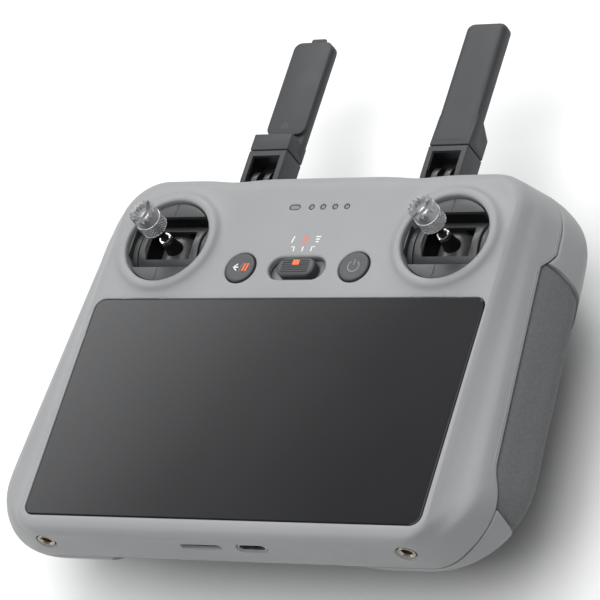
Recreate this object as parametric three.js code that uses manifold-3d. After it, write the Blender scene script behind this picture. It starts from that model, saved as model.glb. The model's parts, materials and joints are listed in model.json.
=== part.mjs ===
// Hand-held radio transmitter controller with a built-in screen, two sticks and two folding antennas.
// Device frame: X to the right, Y up the screen towards the antennas, Z out of the screen.
// Its zero is the centre of the glass; the exported group moves it to the base of the bounding box.
import * as THREE from 'three';
import { mergeVertices } from 'three/addons/utils/BufferGeometryUtils.js';
import Module from 'manifold-3d';

const wasm = await Module();
wasm.setup();

// ---- Driving dimensions, millimetres ----
const BODY_HALF_WIDTH = 84.2;
const BODY_BACK = 44.4;
const BODY_BOTTOM = -40.4;
const BODY_TOP = 77.2;
const WALL = 3.0;
const FRONT_WALL = 3.2;
const GAP = 0.3;
const GRIP_THICKNESS = 1.3;
const GRIP_SINK = 0.5;
const SEAM_DEPTH = 10;
const GRIP_SEAM_DEPTH = 7.2;

const GLASS = { width: 128, height: 70.4, thickness: 1.1, radius: 3 };
const LEDGE = { width: 123.4, height: 65.4 };

const STICK = { x: 46, y: 54.3, pivotDepth: 10.3, wellRadius: 13.5, rimRadius: 16.4, rimHeight: 1.8, bezelTop: 0.6 };
const DRUM = { radius: 10, halfLength: 10.15, wall: 1.2, windowX: 7.45, windowY: 4.7 };
const ROLLER = { radius: 7.2, halfLength: 4.3 };
const KNOB = { radius: 3.9, bottom: 8.1, top: 17 };

const BUTTON = { x: 18.8, y: 45.6, radius: 4.7, proud: 0.4 };
const SLIDER = { y: 45.4, slotLength: 18.5, slotWidth: 7.3, knobLength: 12.6, knobWidth: 5.9, proud: 0.9 };
const LIGHTS = { y: 65.8, barX: -7.1, barLength: 3.6, dots: [-1.5, 2.3, 6.3, 10.2], radius: 0.9 };

const PORT_DEPTH = 7;
const INSERT = { x: 58.5, radius: 2.6, bore: 1.65, length: 7 };
const USB = { x: 10, width: 8.9, height: 3.2, length: 7.5 };
const CARD = { x: -6.5, width: 12, height: 1.5, length: 13 };

const ANTENNA = {
  x: 30.3, depth: 14.5, pinY: 83, pinRadius: 1, width: 13, knuckle: 4.5, fork: 9.4,
  windowTop: 90.7, partY: 92.7, stepLeft: 98.4, taperStart: 99.5, taperEnd: 102.6,
  halfThickness: 4.5, bladeWidth: 13.3, tip: 135.5,
};
const BASE = { neck: 5.0, flange: 5.9, top: 77.6, bottom: 71.9, finThickness: 2.2, finSpacing: 2.1, finRadius: 4 };

const DIAL = { x: 55, y: 66.2, depth: 27.6, radius: 8, width: 7, axle: 1.2 };
const TOP_BUTTON = { x: 52.5, depth: 15, length: 13, width: 5.4, top: 77.8, bottom: 70.8 };
const BACK_BUTTON = { x: 28, y: 34, radius: 4 };
const SCREW = { x: 34, low: -20, high: 16, head: 1.7, shank: 0.9, length: 6 };
const CELL = { x: 58.5, y: 11.5, depth: 24.5, radius: 9.1, length: 58 };

// Body cross-sections parallel to the screen, from front to back:
// depth, half width at LOW_Y, half width at HIGH_Y, bottom, top, lower corner radius, upper corner radius.
const LOW_Y = -14;
const HIGH_Y = 60;
const SECTIONS = [
  [0, 65.7, 64.6, -36.9, 73.6, 5, 10],
  [0.6, 66.7, 66, -38.8, 75.4, 7, 12],
  [1.6, 68.3, 67.2, -39.9, 76.6, 10, 13],
  [3, 71, 68.6, BODY_BOTTOM, BODY_TOP, 14, 14],
  [4.6, 75.2, 70.6, BODY_BOTTOM, BODY_TOP, 18, 15],
  [7, 77.9, 72.8, BODY_BOTTOM, BODY_TOP, 20, 16],
  [12, 81.6, 77, BODY_BOTTOM, BODY_TOP, 22, 18],
  [18, BODY_HALF_WIDTH + 0.5, 79.8, -39.3, 76.6, 24, 20],
  [24, 81.6, 77.2, -36.2, 75.2, 26, 20],
  [30, 77.2, 73.6, -31.8, 72.4, 26, 20],
  [36, 71.4, 68.6, -26.2, 68.2, 26, 20],
  [41, 64.6, 62.6, -19.6, 62, 22, 17],
  [43.6, 59.4, 57.8, -13.4, 56, 18, 14],
  [BODY_BACK, 56, 54.8, -9.5, 52, 14, 11],
];
const CORNER_STEPS = 6;

// The hollow behind the screen, between the two hand grips: half widths over its depth.
const HOLLOW = { depthLow: 14.2, depthHigh: 24, yLow: -60, yHigh: 100, flat: 38, shoulder: 42, foot: 45.5, floor: 47 };

const MATERIALS = {
  shell: { color: 0xb5b7b9, roughness: 0.55, metalness: 0 },
  grip: { color: 0x5f6163, roughness: 0.8, metalness: 0 },
  glass: { color: 0x1c1c1e, roughness: 0.08, metalness: 0 },
  dark: { color: 0x3d3e40, roughness: 0.55, metalness: 0 },
  antenna: { color: 0x58595b, roughness: 0.6, metalness: 0 },
  aluminium: { color: 0xc9cacb, roughness: 0.35, metalness: 1 },
  chrome: { color: 0xe6e6e6, roughness: 0.1, metalness: 1 },
  steel: { color: 0x9a9b9d, roughness: 0.35, metalness: 1 },
  brass: { color: 0xb59a5a, roughness: 0.35, metalness: 1 },
  board: { color: 0x1f4a35, roughness: 0.6, metalness: 0 },
  battery: { color: 0x3a5a8c, roughness: 0.5, metalness: 0 },
  frame: { color: 0x8b8d90, roughness: 0.5, metalness: 1 },
  light: { color: 0xf2f2ee, roughness: 0.3, metalness: 0 },
};

// ---- Solids ----
function toSolid(geometry) {
  const source = geometry.index ? geometry.toNonIndexed() : geometry;
  const bare = new THREE.BufferGeometry();
  bare.setAttribute('position', source.getAttribute('position').clone());
  const merged = mergeVertices(bare, 1e-4);
  const index = merged.index.array;
  const triangles = [];
  for (let i = 0; i < index.length; i += 3) {
    const [a, b, c] = [index[i], index[i + 1], index[i + 2]];
    if (a !== b && b !== c && c !== a) triangles.push(a, b, c);
  }
  return new wasm.Manifold(new wasm.Mesh({
    numProp: 3,
    vertProperties: new Float32Array(merged.getAttribute('position').array),
    triVerts: new Uint32Array(triangles),
  }));
}

function toGeometry(solid) {
  const mesh = solid.getMesh();
  const geometry = new THREE.BufferGeometry();
  geometry.setAttribute('position', new THREE.BufferAttribute(new Float32Array(mesh.vertProperties), 3));
  geometry.setIndex(new THREE.BufferAttribute(new Uint32Array(mesh.triVerts), 1));
  geometry.computeVertexNormals();
  return geometry;
}

function box(x0, x1, y0, y1, z0, z1) {
  const geometry = new THREE.BoxGeometry(x1 - x0, y1 - y0, z1 - z0);
  geometry.translate((x0 + x1) / 2, (y0 + y1) / 2, (z0 + z1) / 2);
  return toSolid(geometry);
}

// A cylinder or cone along one axis, between two stations on that axis, centred on the other two coordinates.
function rod(axis, centre, from, to, radius, endRadius = radius, segments = 20) {
  const geometry = new THREE.CylinderGeometry(endRadius, radius, to - from, segments);
  geometry.translate(0, (from + to) / 2, 0);
  if (axis === 'x') {
    geometry.rotateZ(-Math.PI / 2);
    geometry.translate(0, centre[0], centre[1]);
  } else if (axis === 'y') {
    geometry.translate(centre[0], 0, centre[1]);
  } else {
    geometry.rotateX(Math.PI / 2);
    geometry.translate(centre[0], centre[1], 0);
  }
  return toSolid(geometry);
}

function roundedRectangle(width, height, radius) {
  const [w, h] = [width / 2, height / 2];
  const shape = new THREE.Shape();
  shape.moveTo(-w + radius, -h);
  shape.lineTo(w - radius, -h);
  shape.absarc(w - radius, -h + radius, radius, -Math.PI / 2, 0, false);
  shape.absarc(w - radius, h - radius, radius, 0, Math.PI / 2, false);
  shape.absarc(-w + radius, h - radius, radius, Math.PI / 2, Math.PI, false);
  shape.absarc(-w + radius, -h + radius, radius, Math.PI, 1.5 * Math.PI, false);
  return shape;
}

// A rounded plate parallel to the screen, between two heights.
function plate(x, y, width, height, radius, z0, z1, curveSegments = 3) {
  const geometry = new THREE.ExtrudeGeometry(roundedRectangle(width, height, radius), {
    depth: z1 - z0, bevelEnabled: false, curveSegments,
  });
  geometry.translate(x, y, z0);
  return toSolid(geometry);
}

// A rounded bar that runs along Y, between two stations.
function barAlongY(x, z, width, height, radius, y0, y1) {
  const geometry = new THREE.ExtrudeGeometry(roundedRectangle(width, height, radius), {
    depth: y1 - y0, bevelEnabled: false, curveSegments: 4,
  });
  geometry.rotateX(Math.PI / 2);
  geometry.translate(x, y1, z);
  return toSolid(geometry);
}

// A side profile given as [y, z] points, extruded along X.
function sideProfile(points, x0, x1) {
  const shape = new THREE.Shape(points.map(([y, z]) => new THREE.Vector2(y, z)));
  const geometry = new THREE.ExtrudeGeometry(shape, { depth: x1 - x0, bevelEnabled: false });
  geometry.applyMatrix4(new THREE.Matrix4().set(0, 0, 1, x0, 1, 0, 0, 0, 0, 1, 0, 0, 0, 0, 0, 1));
  return toSolid(geometry);
}

function ring(x, y, profile, segments = 32) {
  const closed = [...profile, profile[0]].map(([r, z]) => new THREE.Vector2(r, z));
  const geometry = new THREE.LatheGeometry(closed, segments);
  geometry.rotateX(Math.PI / 2);
  geometry.translate(x, y, 0);
  return toSolid(geometry);
}

// Joins a list of rings of points into one closed solid with flat fan caps.
function loft(rings) {
  const count = rings[0].length;
  const positions = rings.flat().flatMap((point) => [point.x, point.y, point.z]);
  const index = [];
  for (let level = 0; level + 1 < rings.length; level += 1) {
    for (let i = 0; i < count; i += 1) {
      const j = (i + 1) % count;
      const [a, b] = [level * count + i, level * count + j];
      const [c, d] = [a + count, b + count];
      index.push(a, c, b, b, c, d);
    }
  }
  for (const [level, flip] of [[0, false], [rings.length - 1, true]]) {
    const centre = rings[level].reduce((sum, point) => sum.clone().add(point)).divideScalar(count);
    const hub = positions.length / 3;
    positions.push(centre.x, centre.y, centre.z);
    for (let i = 0; i < count; i += 1) {
      const [a, b] = [level * count + i, level * count + (i + 1) % count];
      index.push(...(flip ? [hub, b, a] : [hub, a, b]));
    }
  }
  const geometry = new THREE.BufferGeometry();
  geometry.setAttribute('position', new THREE.BufferAttribute(new Float32Array(positions), 3));
  geometry.setIndex(index);
  return toSolid(geometry);
}

// ---- The body's form ----
function bodyRing([, low, high, bottom, top, lowRadius, highRadius], inset, z, steps) {
  const tilt = Math.atan2(low - high, HIGH_Y - LOW_Y);
  const [c, s] = [Math.cos(tilt), Math.sin(tilt)];
  const side = c * low + s * LOW_Y - inset;
  const points = [];
  const corner = (radius, y, from, to) => {
    const x = (side - radius - s * y) / c;
    for (let i = 0; i <= steps; i += 1) {
      const angle = from + (to - from) * i / steps;
      points.push(new THREE.Vector3(x + radius * Math.cos(angle), y + radius * Math.sin(angle), z));
    }
  };
  const [lowCorner, highCorner] = [lowRadius - inset, highRadius - inset];
  corner(lowCorner, bottom + inset + lowCorner, -Math.PI / 2, tilt);
  corner(highCorner, top - inset - highCorner, tilt, Math.PI / 2);
  const mirrored = [...points].reverse().map((point) => new THREE.Vector3(-point.x, point.y, point.z));
  return [...points, ...mirrored];
}

function bodyLoft(inset, front, back, sections = SECTIONS, steps = CORNER_STEPS) {
  const scale = (BODY_BACK - front - back) / BODY_BACK;
  return loft(sections.map((section) => bodyRing(section, inset, -front - section[0] * scale, steps)));
}

function hollowDepth(y) {
  const share = (y - HOLLOW.yLow) / (HOLLOW.yHigh - HOLLOW.yLow);
  return HOLLOW.depthLow + share * (HOLLOW.depthHigh - HOLLOW.depthLow);
}

function backHollow(growth) {
  const sectionAt = (y) => {
    const top = -hollowDepth(y) + growth;
    const right = [
      [HOLLOW.floor + growth, -60], [HOLLOW.floor + growth, -BODY_BACK], [HOLLOW.foot + growth, top - 8],
      [HOLLOW.shoulder + growth, top - 1.5], [HOLLOW.flat + growth, top],
    ];
    const left = [...right].reverse().map(([x, z]) => [-x, z]);
    return [...right, ...left].map(([x, z]) => new THREE.Vector3(x, y, z));
  };
  return loft([sectionAt(HOLLOW.yLow), sectionAt(HOLLOW.yHigh)]);
}

function bodySkin() {
  const outer = bodyLoft(0, 0, 0).subtract(backHollow(0));
  const innerSections = SECTIONS.filter((section, i) => i === 0 || i > 2);
  const inner = bodyLoft(WALL, FRONT_WALL, WALL, innerSections, 3).subtract(backHollow(WALL));
  return outer.subtract(inner);
}

// Everything in front of the seam between the shells; it dips behind the ports at the bottom.
function frontRegion(shift) {
  const profile = [
    [-60, 20], [-60, -17], [-40.2, -17], [-39, -15], [-36, -12.8], [-31, -11.2], [-24, -9.8], [-14, -GRIP_SEAM_DEPTH],
    [50, -GRIP_SEAM_DEPTH], [54, -SEAM_DEPTH], [100, -SEAM_DEPTH], [100, 20],
  ];
  return sideProfile(profile.map(([y, z]) => [y, z - shift]), -100, 100);
}

function gripRegion(side, growth) {
  const outline = [
    [50, -GRIP_SEAM_DEPTH - GAP], [-13.8, -GRIP_SEAM_DEPTH - GAP], [-23, -SEAM_DEPTH - GAP], [-26.6, -16],
    [-27.5, -24], [-24, -34], [-16, -50], [42, -50], [43, -34], [45, -24], [48, -17], [51, -12], [52, -9.2],
  ];
  const centre = [12, -28];
  const grown = outline.map(([y, z]) => {
    const length = Math.hypot(y - centre[0], z - centre[1]);
    const scale = (length + growth) / length;
    return [centre[0] + (y - centre[0]) * scale, centre[1] + (z - centre[1]) * scale];
  });
  const inner = 48.5 - growth;
  return side > 0 ? sideProfile(grown, inner, 95) : sideProfile(grown, -95, -inner);
}

const bothSides = (make) => [-1, 1].map(make);
const joinAll = (solids) => solids.reduce((sum, solid) => sum.add(solid));

// ---- Shells and grips ----
function antennaBaseCuts() {
  return joinAll(bothSides((side) => {
    const centre = [side * ANTENNA.x, -ANTENNA.depth];
    const neck = rod('y', centre, 60, 90, BASE.neck + GAP + 0.05);
    const flange = rod('y', centre, BASE.bottom - 1, BASE.bottom + 2.4, BASE.flange + 0.4);
    return neck.add(flange);
  }));
}

function portCuts() {
  const [y0, y1] = [BODY_BOTTOM - 2, BODY_BOTTOM + WALL + 1];
  const usb = barAlongY(USB.x, -PORT_DEPTH, USB.width + 2 * GAP, USB.height + 2 * GAP, 1.85, y0, y1);
  const card = barAlongY(CARD.x, -PORT_DEPTH, CARD.width + 2 * GAP, CARD.height + 2 * GAP, 0.4, y0, y1);
  const inserts = bothSides((side) => rod('y', [side * INSERT.x, -PORT_DEPTH], y0, y1 + 2, INSERT.radius + GAP));
  return joinAll([usb, card, ...inserts]);
}

function controlCuts() {
  const cuts = bothSides((side) => rod('z', [side * BUTTON.x, BUTTON.y], -6, 3, BUTTON.radius + GAP + 0.05, undefined, 24));
  const slotEnd = SLIDER.slotWidth / 2;
  cuts.push(plate(0, SLIDER.y, SLIDER.slotLength, SLIDER.slotWidth, slotEnd - 0.01, -6, 3, 6));
  cuts.push(plate(LIGHTS.barX, LIGHTS.y, LIGHTS.barLength, 2 * LIGHTS.radius, LIGHTS.radius - 0.01, -6, 3));
  for (const x of LIGHTS.dots) cuts.push(rod('z', [x, LIGHTS.y], -6, 3, LIGHTS.radius, undefined, 8));
  return joinAll(cuts);
}

function wellRims() {
  const [inner, outer, height] = [STICK.wellRadius, STICK.rimRadius, STICK.rimHeight];
  const profile = [
    [inner, -FRONT_WALL], [outer + 1, -FRONT_WALL], [outer + 0.8, -0.2], [outer - 0.5, 0.7],
    [outer - 1.2, height - 0.2], [outer - 1.9, height], [inner + 0.4, height - 0.1], [inner, height - 0.6],
  ];
  return joinAll(bothSides((side) => ring(side * STICK.x, STICK.y, profile)));
}

function frontShell(skin) {
  const wells = bothSides((side) => rod('z', [side * STICK.x, STICK.y], -8, 3, STICK.wellRadius, undefined, 32));
  const screen = plate(0, 0, GLASS.width + 2 * GAP, GLASS.height + 2 * GAP, GLASS.radius + GAP, -2.2, 3);
  const opening = plate(0, 0, LEDGE.width, LEDGE.height, 2, -8, 3);
  return skin.intersect(frontRegion(0)).add(wellRims()).subtract(joinAll([
    ...wells, screen, opening, controlCuts(), portCuts(), antennaBaseCuts(),
  ]));
}

function dialLugs() {
  return joinAll(bothSides((side) => {
    const reach = DIAL.width / 2 + 0.8;
    return joinAll([-1, 1].map((end) => {
      const x = side * DIAL.x + end * (reach + 0.8);
      const lug = box(x - 0.8, x + 0.8, DIAL.y - 3, 73, -DIAL.depth - 3, -DIAL.depth + 3);
      return lug.subtract(rod('x', [DIAL.y, -DIAL.depth], x - 2, x + 2, DIAL.axle + GAP, undefined, 12));
    }));
  }));
}

function screwPlaces() {
  return [[-1, SCREW.low], [1, SCREW.low], [-1, SCREW.high], [1, SCREW.high]].map(([side, y]) => [side * SCREW.x, y]);
}

function rearShell(skin) {
  const cuts = [frontRegion(GAP), antennaBaseCuts()];
  for (const side of [-1, 1]) {
    cuts.push(gripRegion(side, GAP).subtract(bodyLoft(GRIP_SINK + GRIP_THICKNESS + GAP, 1.6, GRIP_THICKNESS + GAP)));
    const half = DIAL.width / 2 + 0.5;
    const x = side * DIAL.x;
    cuts.push(box(x - half, x + half, DIAL.y - 10, 90, -DIAL.depth - 9, -DIAL.depth + 9));
    cuts.push(barAlongY(side * TOP_BUTTON.x, -TOP_BUTTON.depth, TOP_BUTTON.length + 2 * GAP,
      TOP_BUTTON.width + 2 * GAP, 1.5, 66, 90));
    cuts.push(rod('z', [side * BACK_BUTTON.x, BACK_BUTTON.y], -30, -12, BACK_BUTTON.radius + GAP));
  }
  for (const [x, y] of screwPlaces()) {
    const back = -hollowDepth(y);
    cuts.push(rod('z', [x, y], back - 2, back + 5, SCREW.shank + GAP, undefined, 12));
    cuts.push(rod('z', [x, y], back - 2, back + 1.7, SCREW.head + GAP, undefined, 12));
  }
  return skin.add(dialLugs()).subtract(joinAll(cuts));
}

function grip(side) {
  const outer = bodyLoft(GRIP_SINK, 0, 0);
  const inner = bodyLoft(GRIP_SINK + GRIP_THICKNESS, GRIP_THICKNESS, GRIP_THICKNESS);
  return outer.subtract(inner).subtract(backHollow(0)).intersect(gripRegion(side, 0));
}

// ---- Screen and inner parts ----
function screenGlass() {
  return plate(0, 0, GLASS.width, GLASS.height, GLASS.radius, -GLASS.thickness, 0);
}

function displayGasket() {
  const outer = plate(0, 0, GLASS.width - 0.4, GLASS.height - 0.4, GLASS.radius, -1.9, -1.4);
  return outer.subtract(plate(0, 0, LEDGE.width, LEDGE.height, 2, -3, 0));
}

function displayPanel() {
  return plate(0, 0, LEDGE.width - 1, LEDGE.height - 1, 1.5, -4.6, -1.4);
}

function midFrame() {
  let frame = plate(0, 4.5, 128, 58, 4, -6.6, -5.2, 2);
  for (const x of [-54, 54]) frame = frame.subtract(plate(x, 4.5, 16, 40, 3, -8, -4, 2));
  for (const [x, y] of screwPlaces()) {
    const end = -hollowDepth(y) + WALL + 1.2;
    const post = rod('z', [x, y], end, -6, 2.6, undefined, 20);
    frame = frame.add(post.subtract(rod('z', [x, y], end - 1, -7, SCREW.shank + GAP, undefined, 12)));
  }
  return frame;
}

function mainBoard() {
  const board = plate(0, 2, 56, 48, 2, -8.7, -7.3);
  const chips = [[-10, 6, 15], [12, 8, 12], [2, -12, 10]].map(([x, y, size]) => (
    box(x - size / 2, x + size / 2, y - size / 2, y + size / 2, -10.2, -8.5)));
  return joinAll([board, ...chips]);
}

function buttonBoard() {
  const board = plate(0, 55, 56, 30, 2, -8.4, -7.2);
  const switches = bothSides((side) => rod('z', [side * BUTTON.x, BUTTON.y], -7.4, -6.2, 2.2, undefined, 12));
  const slideSwitch = box(-6, 6, SLIDER.y - 2, SLIDER.y + 2, -7.4, -5.8);
  return joinAll([board, ...switches, slideSwitch]);
}

function lightGuide() {
  const bar = box(-10, 12, LIGHTS.y - 1.4, LIGHTS.y + 1.4, -5.2, -3.7);
  const long = plate(LIGHTS.barX, LIGHTS.y, LIGHTS.barLength - 0.5, 1.3, 0.6, -4, -0.15);
  const dots = LIGHTS.dots.map((x) => rod('z', [x, LIGHTS.y], -4, -0.15, LIGHTS.radius - 0.25, undefined, 8));
  return joinAll([bar, long, ...dots]);
}

function battery(side) {
  const [y0, y1] = [CELL.y - CELL.length / 2, CELL.y + CELL.length / 2];
  const centre = [side * CELL.x, -CELL.depth];
  return rod('y', centre, y0, y1, CELL.radius).add(rod('y', centre, y1 - 0.5, y1 + 1.2, 3, undefined, 12));
}

function usbSocket() {
  const [y0, y1] = [BODY_BOTTOM + 0.4, BODY_BOTTOM + 0.4 + USB.length];
  const can = barAlongY(USB.x, -PORT_DEPTH, USB.width, USB.height, 1.55, y0, y1);
  const mouth = barAlongY(USB.x, -PORT_DEPTH, USB.width - 0.7, USB.height - 0.7, 1.2, y0 - 1, y1 - 1);
  const tongue = box(USB.x - 3.2, USB.x + 3.2, y0 + 1, y1 - 0.5, -PORT_DEPTH - 0.35, -PORT_DEPTH + 0.35);
  return can.subtract(mouth).add(tongue);
}

function cardSocket() {
  const [y0, y1] = [BODY_BOTTOM + 0.6, BODY_BOTTOM + 0.6 + CARD.length];
  const x0 = CARD.x - CARD.width / 2;
  const x1 = CARD.x + CARD.width / 2;
  const body = box(x0, x1, y0, y1, -PORT_DEPTH - CARD.height / 2, -PORT_DEPTH + CARD.height / 2);
  return body.subtract(box(x0 + 0.4, x1 - 0.4, y0 - 1, y1 - 1, -PORT_DEPTH - 0.4, -PORT_DEPTH + 0.4));
}

function threadInsert(side) {
  const centre = [side * INSERT.x, -PORT_DEPTH];
  const [y0, y1] = [BODY_BOTTOM + 0.3, BODY_BOTTOM + 0.3 + INSERT.length];
  return rod('y', centre, y0, y1, INSERT.radius).subtract(rod('y', centre, y0 - 1, y1 + 1, INSERT.bore, undefined, 20));
}

function caseScrew([x, y]) {
  const back = -hollowDepth(y);
  const head = rod('z', [x, y], back + 0.3, back + 1.4, SCREW.head, undefined, 12);
  const shank = rod('z', [x, y], back + 1.2, back + 1.2 + SCREW.length, SCREW.shank, undefined, 12);
  const drive = box(x - 1, x + 1, y - 0.25, y + 0.25, back, back + 0.8);
  const cross = box(x - 0.25, x + 0.25, y - 1, y + 1, back, back + 0.8);
  return head.add(shank).subtract(drive).subtract(cross);
}

// ---- Stick gimbals ----
const PIVOT_Z = -STICK.pivotDepth;

function gimbalHousing(side) {
  const [x, y] = [side * STICK.x, STICK.y];
  const outer = STICK.wellRadius - GAP;
  const neck = rod('z', [x, y], -3.8, STICK.bezelTop, outer, undefined, 32);
  const body = box(x - 14, x + 14, y - 12, y + 12, -17, -3.6);
  const cavity = box(x - 12.8, x + 12.8, y - 10.7, y + 10.7, -18, -3.8);
  const neckCavity = rod('z', [x, y], -4.2, STICK.bezelTop - 1.45, 12.6, undefined, 32);
  const slot = rod('z', [x, y], -3, 1, 12.4, undefined, 32).intersect(box(x - 14, x + 14, y - 8.5, y + 8.5, -4, 2));
  const cheek = (end) => {
    const [x0, x1] = end > 0 ? [x + 10.5, x + 13] : [x - 13, x - 10.5];
    const disc = rod('x', [y, PIVOT_Z], x0, x1, DRUM.radius - 0.3, undefined, 28);
    const allowed = rod('z', [x, y], -4, 1, 12.75, undefined, 32).add(box(x - 13.2, x + 13.2, y - 12, y + 12, -16.8, -3.9));
    return disc.intersect(allowed);
  };
  const hollow = neck.add(body).subtract(joinAll([cavity, neckCavity, slot]));
  const bore = rod('x', [y, PIVOT_Z], x - 20, x + 20, 2.3, undefined, 20);
  return joinAll([hollow, cheek(-1), cheek(1)]).subtract(bore);
}

function stickDrum(side) {
  const [x, y] = [side * STICK.x, STICK.y];
  const centre = [y, PIVOT_Z];
  const [x0, x1] = [x - DRUM.halfLength, x + DRUM.halfLength];
  const cover = rod('x', centre, x0, x1, DRUM.radius, undefined, 32)
    .subtract(rod('x', centre, x0 + 1.2, x1 - 1.2, DRUM.radius - DRUM.wall, undefined, 32));
  const lower = sideProfile([
    [y - 12, PIVOT_Z - 12], [y + 12, PIVOT_Z - 12], [y + 12, PIVOT_Z + 2], [y + 7, PIVOT_Z - 2.2], [y - 7, PIVOT_Z - 2.2],
    [y - 12, PIVOT_Z + 2],
  ], x0 - 1, x1 + 1);
  const lugs = [-1, 1].map((end) => {
    const [y0, y1] = end > 0 ? [y + 4.9, y + 6.3] : [y - 6.3, y - 4.9];
    return box(x - 3, x + 3, y0, y1, PIVOT_Z - 2.2, PIVOT_Z + 7.2);
  });
  const trunnions = [rod('x', centre, x1 - 1, x1 + 2.6, 2, undefined, 20), rod('x', centre, x0 - 2.6, x0 + 1, 2, undefined, 20)];
  const window = box(x - DRUM.windowX, x + DRUM.windowX, y - DRUM.windowY, y + DRUM.windowY, PIVOT_Z + 4, 2);
  const bore = rod('y', [x, PIVOT_Z], y - 7, y + 7, 1.5, undefined, 12);
  return joinAll([cover.subtract(lower), ...lugs, ...trunnions]).subtract(window).subtract(bore);
}

function stickRoller(side) {
  const [x, y] = [side * STICK.x, STICK.y];
  const centre = [x, PIVOT_Z];
  const { radius, halfLength } = ROLLER;
  const barrel = rod('y', centre, y - halfLength, y + halfLength, radius, undefined, 28)
    .subtract(box(x - 10, x + 10, y - 6, y + 6, PIVOT_Z - 10, PIVOT_Z - 2));
  const trunnion = rod('y', centre, y - 6.2, y + 6.2, 1.2, undefined, 12);
  const sleeve = rod('z', [x, y], PIVOT_Z + radius - 1, 1.5, 2.3, 1.8, 24);
  const shaft = rod('z', [x, y], 0, KNOB.bottom + 3, 1.05, undefined, 12);
  return joinAll([barrel, trunnion, sleeve, shaft]);
}

function stickCollar(side) {
  const centre = [side * STICK.x, STICK.y];
  return rod('z', centre, 1.8, 2.7, 1.85, undefined, 24).subtract(rod('z', centre, 1, 4, 1.35, undefined, 24));
}

function stickKnob(side) {
  const [x, y] = [side * STICK.x, STICK.y];
  const { radius, bottom, top } = KNOB;
  const profile = [
    [0, bottom], [radius - 1, bottom], [radius, bottom + 1.2], [radius, bottom + 5], [radius - 0.35, bottom + 7.4],
    [radius - 0.1, top - 0.4], [radius - 0.6, top], [0, top],
  ].map(([r, z]) => new THREE.Vector2(r, z));
  const turned = new THREE.LatheGeometry(profile, 24);
  turned.rotateX(Math.PI / 2);
  turned.translate(x, y, 0);
  const bore = rod('z', [x, y], bottom - 1, bottom + 3.4, 1.35, undefined, 12);
  const slot = box(x - 0.5, x + 0.5, y - 5, y + 5, top - 1.6, top + 1);
  return toSolid(turned).subtract(bore).subtract(slot);
}

// ---- Buttons, slider and dials ----
function faceButton(side) {
  const centre = [side * BUTTON.x, BUTTON.y];
  const cap = rod('z', centre, -2.9, BUTTON.proud - 0.4, BUTTON.radius, undefined, 24)
    .add(rod('z', centre, BUTTON.proud - 0.4, BUTTON.proud, BUTTON.radius, BUTTON.radius - 0.4, 24));
  const flange = rod('z', centre, -4.3, -3.6, BUTTON.radius + 0.8, undefined, 24);
  const core = rod('z', centre, -4.8, -2, 2.4, undefined, 12);
  return joinAll([cap, core, flange]);
}

function modeSlider() {
  const { knobLength, knobWidth, proud, y } = SLIDER;
  let knob = plate(0, y, knobLength, knobWidth, knobWidth / 2 - 0.01, -2.4, proud, 6);
  for (let i = -2; i <= 2; i += 1) {
    knob = knob.subtract(box(i * 1.8 - 0.3, i * 1.8 + 0.3, y - 4, y + 4, proud - 0.35, proud + 1));
  }
  const stem = box(-1.5, 1.5, y - 1.2, y + 1.2, -5.3, -2);
  return knob.add(stem);
}

function topButton(side) {
  const { x, depth, length, width, top, bottom } = TOP_BUTTON;
  return barAlongY(side * x, -depth, length, width, 1.4, bottom, top);
}

function backButton(side) {
  const back = -hollowDepth(BACK_BUTTON.y);
  return rod('z', [side * BACK_BUTTON.x, BACK_BUTTON.y], back - 0.6, back + WALL, BACK_BUTTON.radius, undefined, 28)
    .add(rod('z', [side * BACK_BUTTON.x, BACK_BUTTON.y], back + WALL + 0.4, back + WALL + 1.2, BACK_BUTTON.radius + 1))
    .add(rod('z', [side * BACK_BUTTON.x, BACK_BUTTON.y], back + 2, back + WALL + 1, 2, undefined, 12));
}

function dial(side) {
  const [x0, x1] = [side * DIAL.x - DIAL.width / 2, side * DIAL.x + DIAL.width / 2];
  const centre = [DIAL.y, -DIAL.depth];
  let wheel = rod('x', centre, x0, x1, DIAL.radius, undefined, 28);
  const count = 12;
  for (let i = 0; i < count; i += 1) {
    const angle = 2 * Math.PI * i / count;
    const notch = [centre[0] + (DIAL.radius + 0.25) * Math.cos(angle), centre[1] + (DIAL.radius + 0.25) * Math.sin(angle)];
    wheel = wheel.subtract(rod('x', notch, x0 - 1, x1 + 1, 0.6, undefined, 4));
  }
  return wheel.subtract(rod('x', centre, x0 - 1, x1 + 1, DIAL.axle + GAP, undefined, 12));
}

function dialAxle(side) {
  const reach = DIAL.width / 2 + 2.2;
  return rod('x', [DIAL.y, -DIAL.depth], side * DIAL.x - reach, side * DIAL.x + reach, DIAL.axle, undefined, 12);
}

// ---- Antennas ----
function antennaBase(side) {
  const x = side * ANTENNA.x;
  const centre = [x, -ANTENNA.depth];
  const pin = [ANTENNA.pinY, -ANTENNA.depth];
  const stem = joinAll([
    rod('y', centre, BASE.bottom, BASE.bottom + 1.6, BASE.flange),
    rod('y', centre, BASE.bottom + 1.4, BASE.top, BASE.neck),
  ]);
  const fins = [-1, 1].map((end) => {
    const middle = x + end * BASE.finSpacing;
    const [x0, x1] = [middle - BASE.finThickness / 2, middle + BASE.finThickness / 2];
    const half = BASE.finRadius;
    return rod('x', pin, x0, x1, half, undefined, 24)
      .add(box(x0, x1, BASE.top - 0.5, ANTENNA.pinY, -ANTENNA.depth - half, -ANTENNA.depth + half));
  });
  return joinAll([stem, ...fins]).subtract(rod('x', pin, x - 10, x + 10, ANTENNA.pinRadius + GAP, undefined, 12));
}

function antennaPin(side) {
  const reach = ANTENNA.width / 2 - 0.4;
  const x = side * ANTENNA.x;
  return rod('x', [ANTENNA.pinY, -ANTENNA.depth], x - reach, x + reach, ANTENNA.pinRadius, undefined, 12);
}

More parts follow.
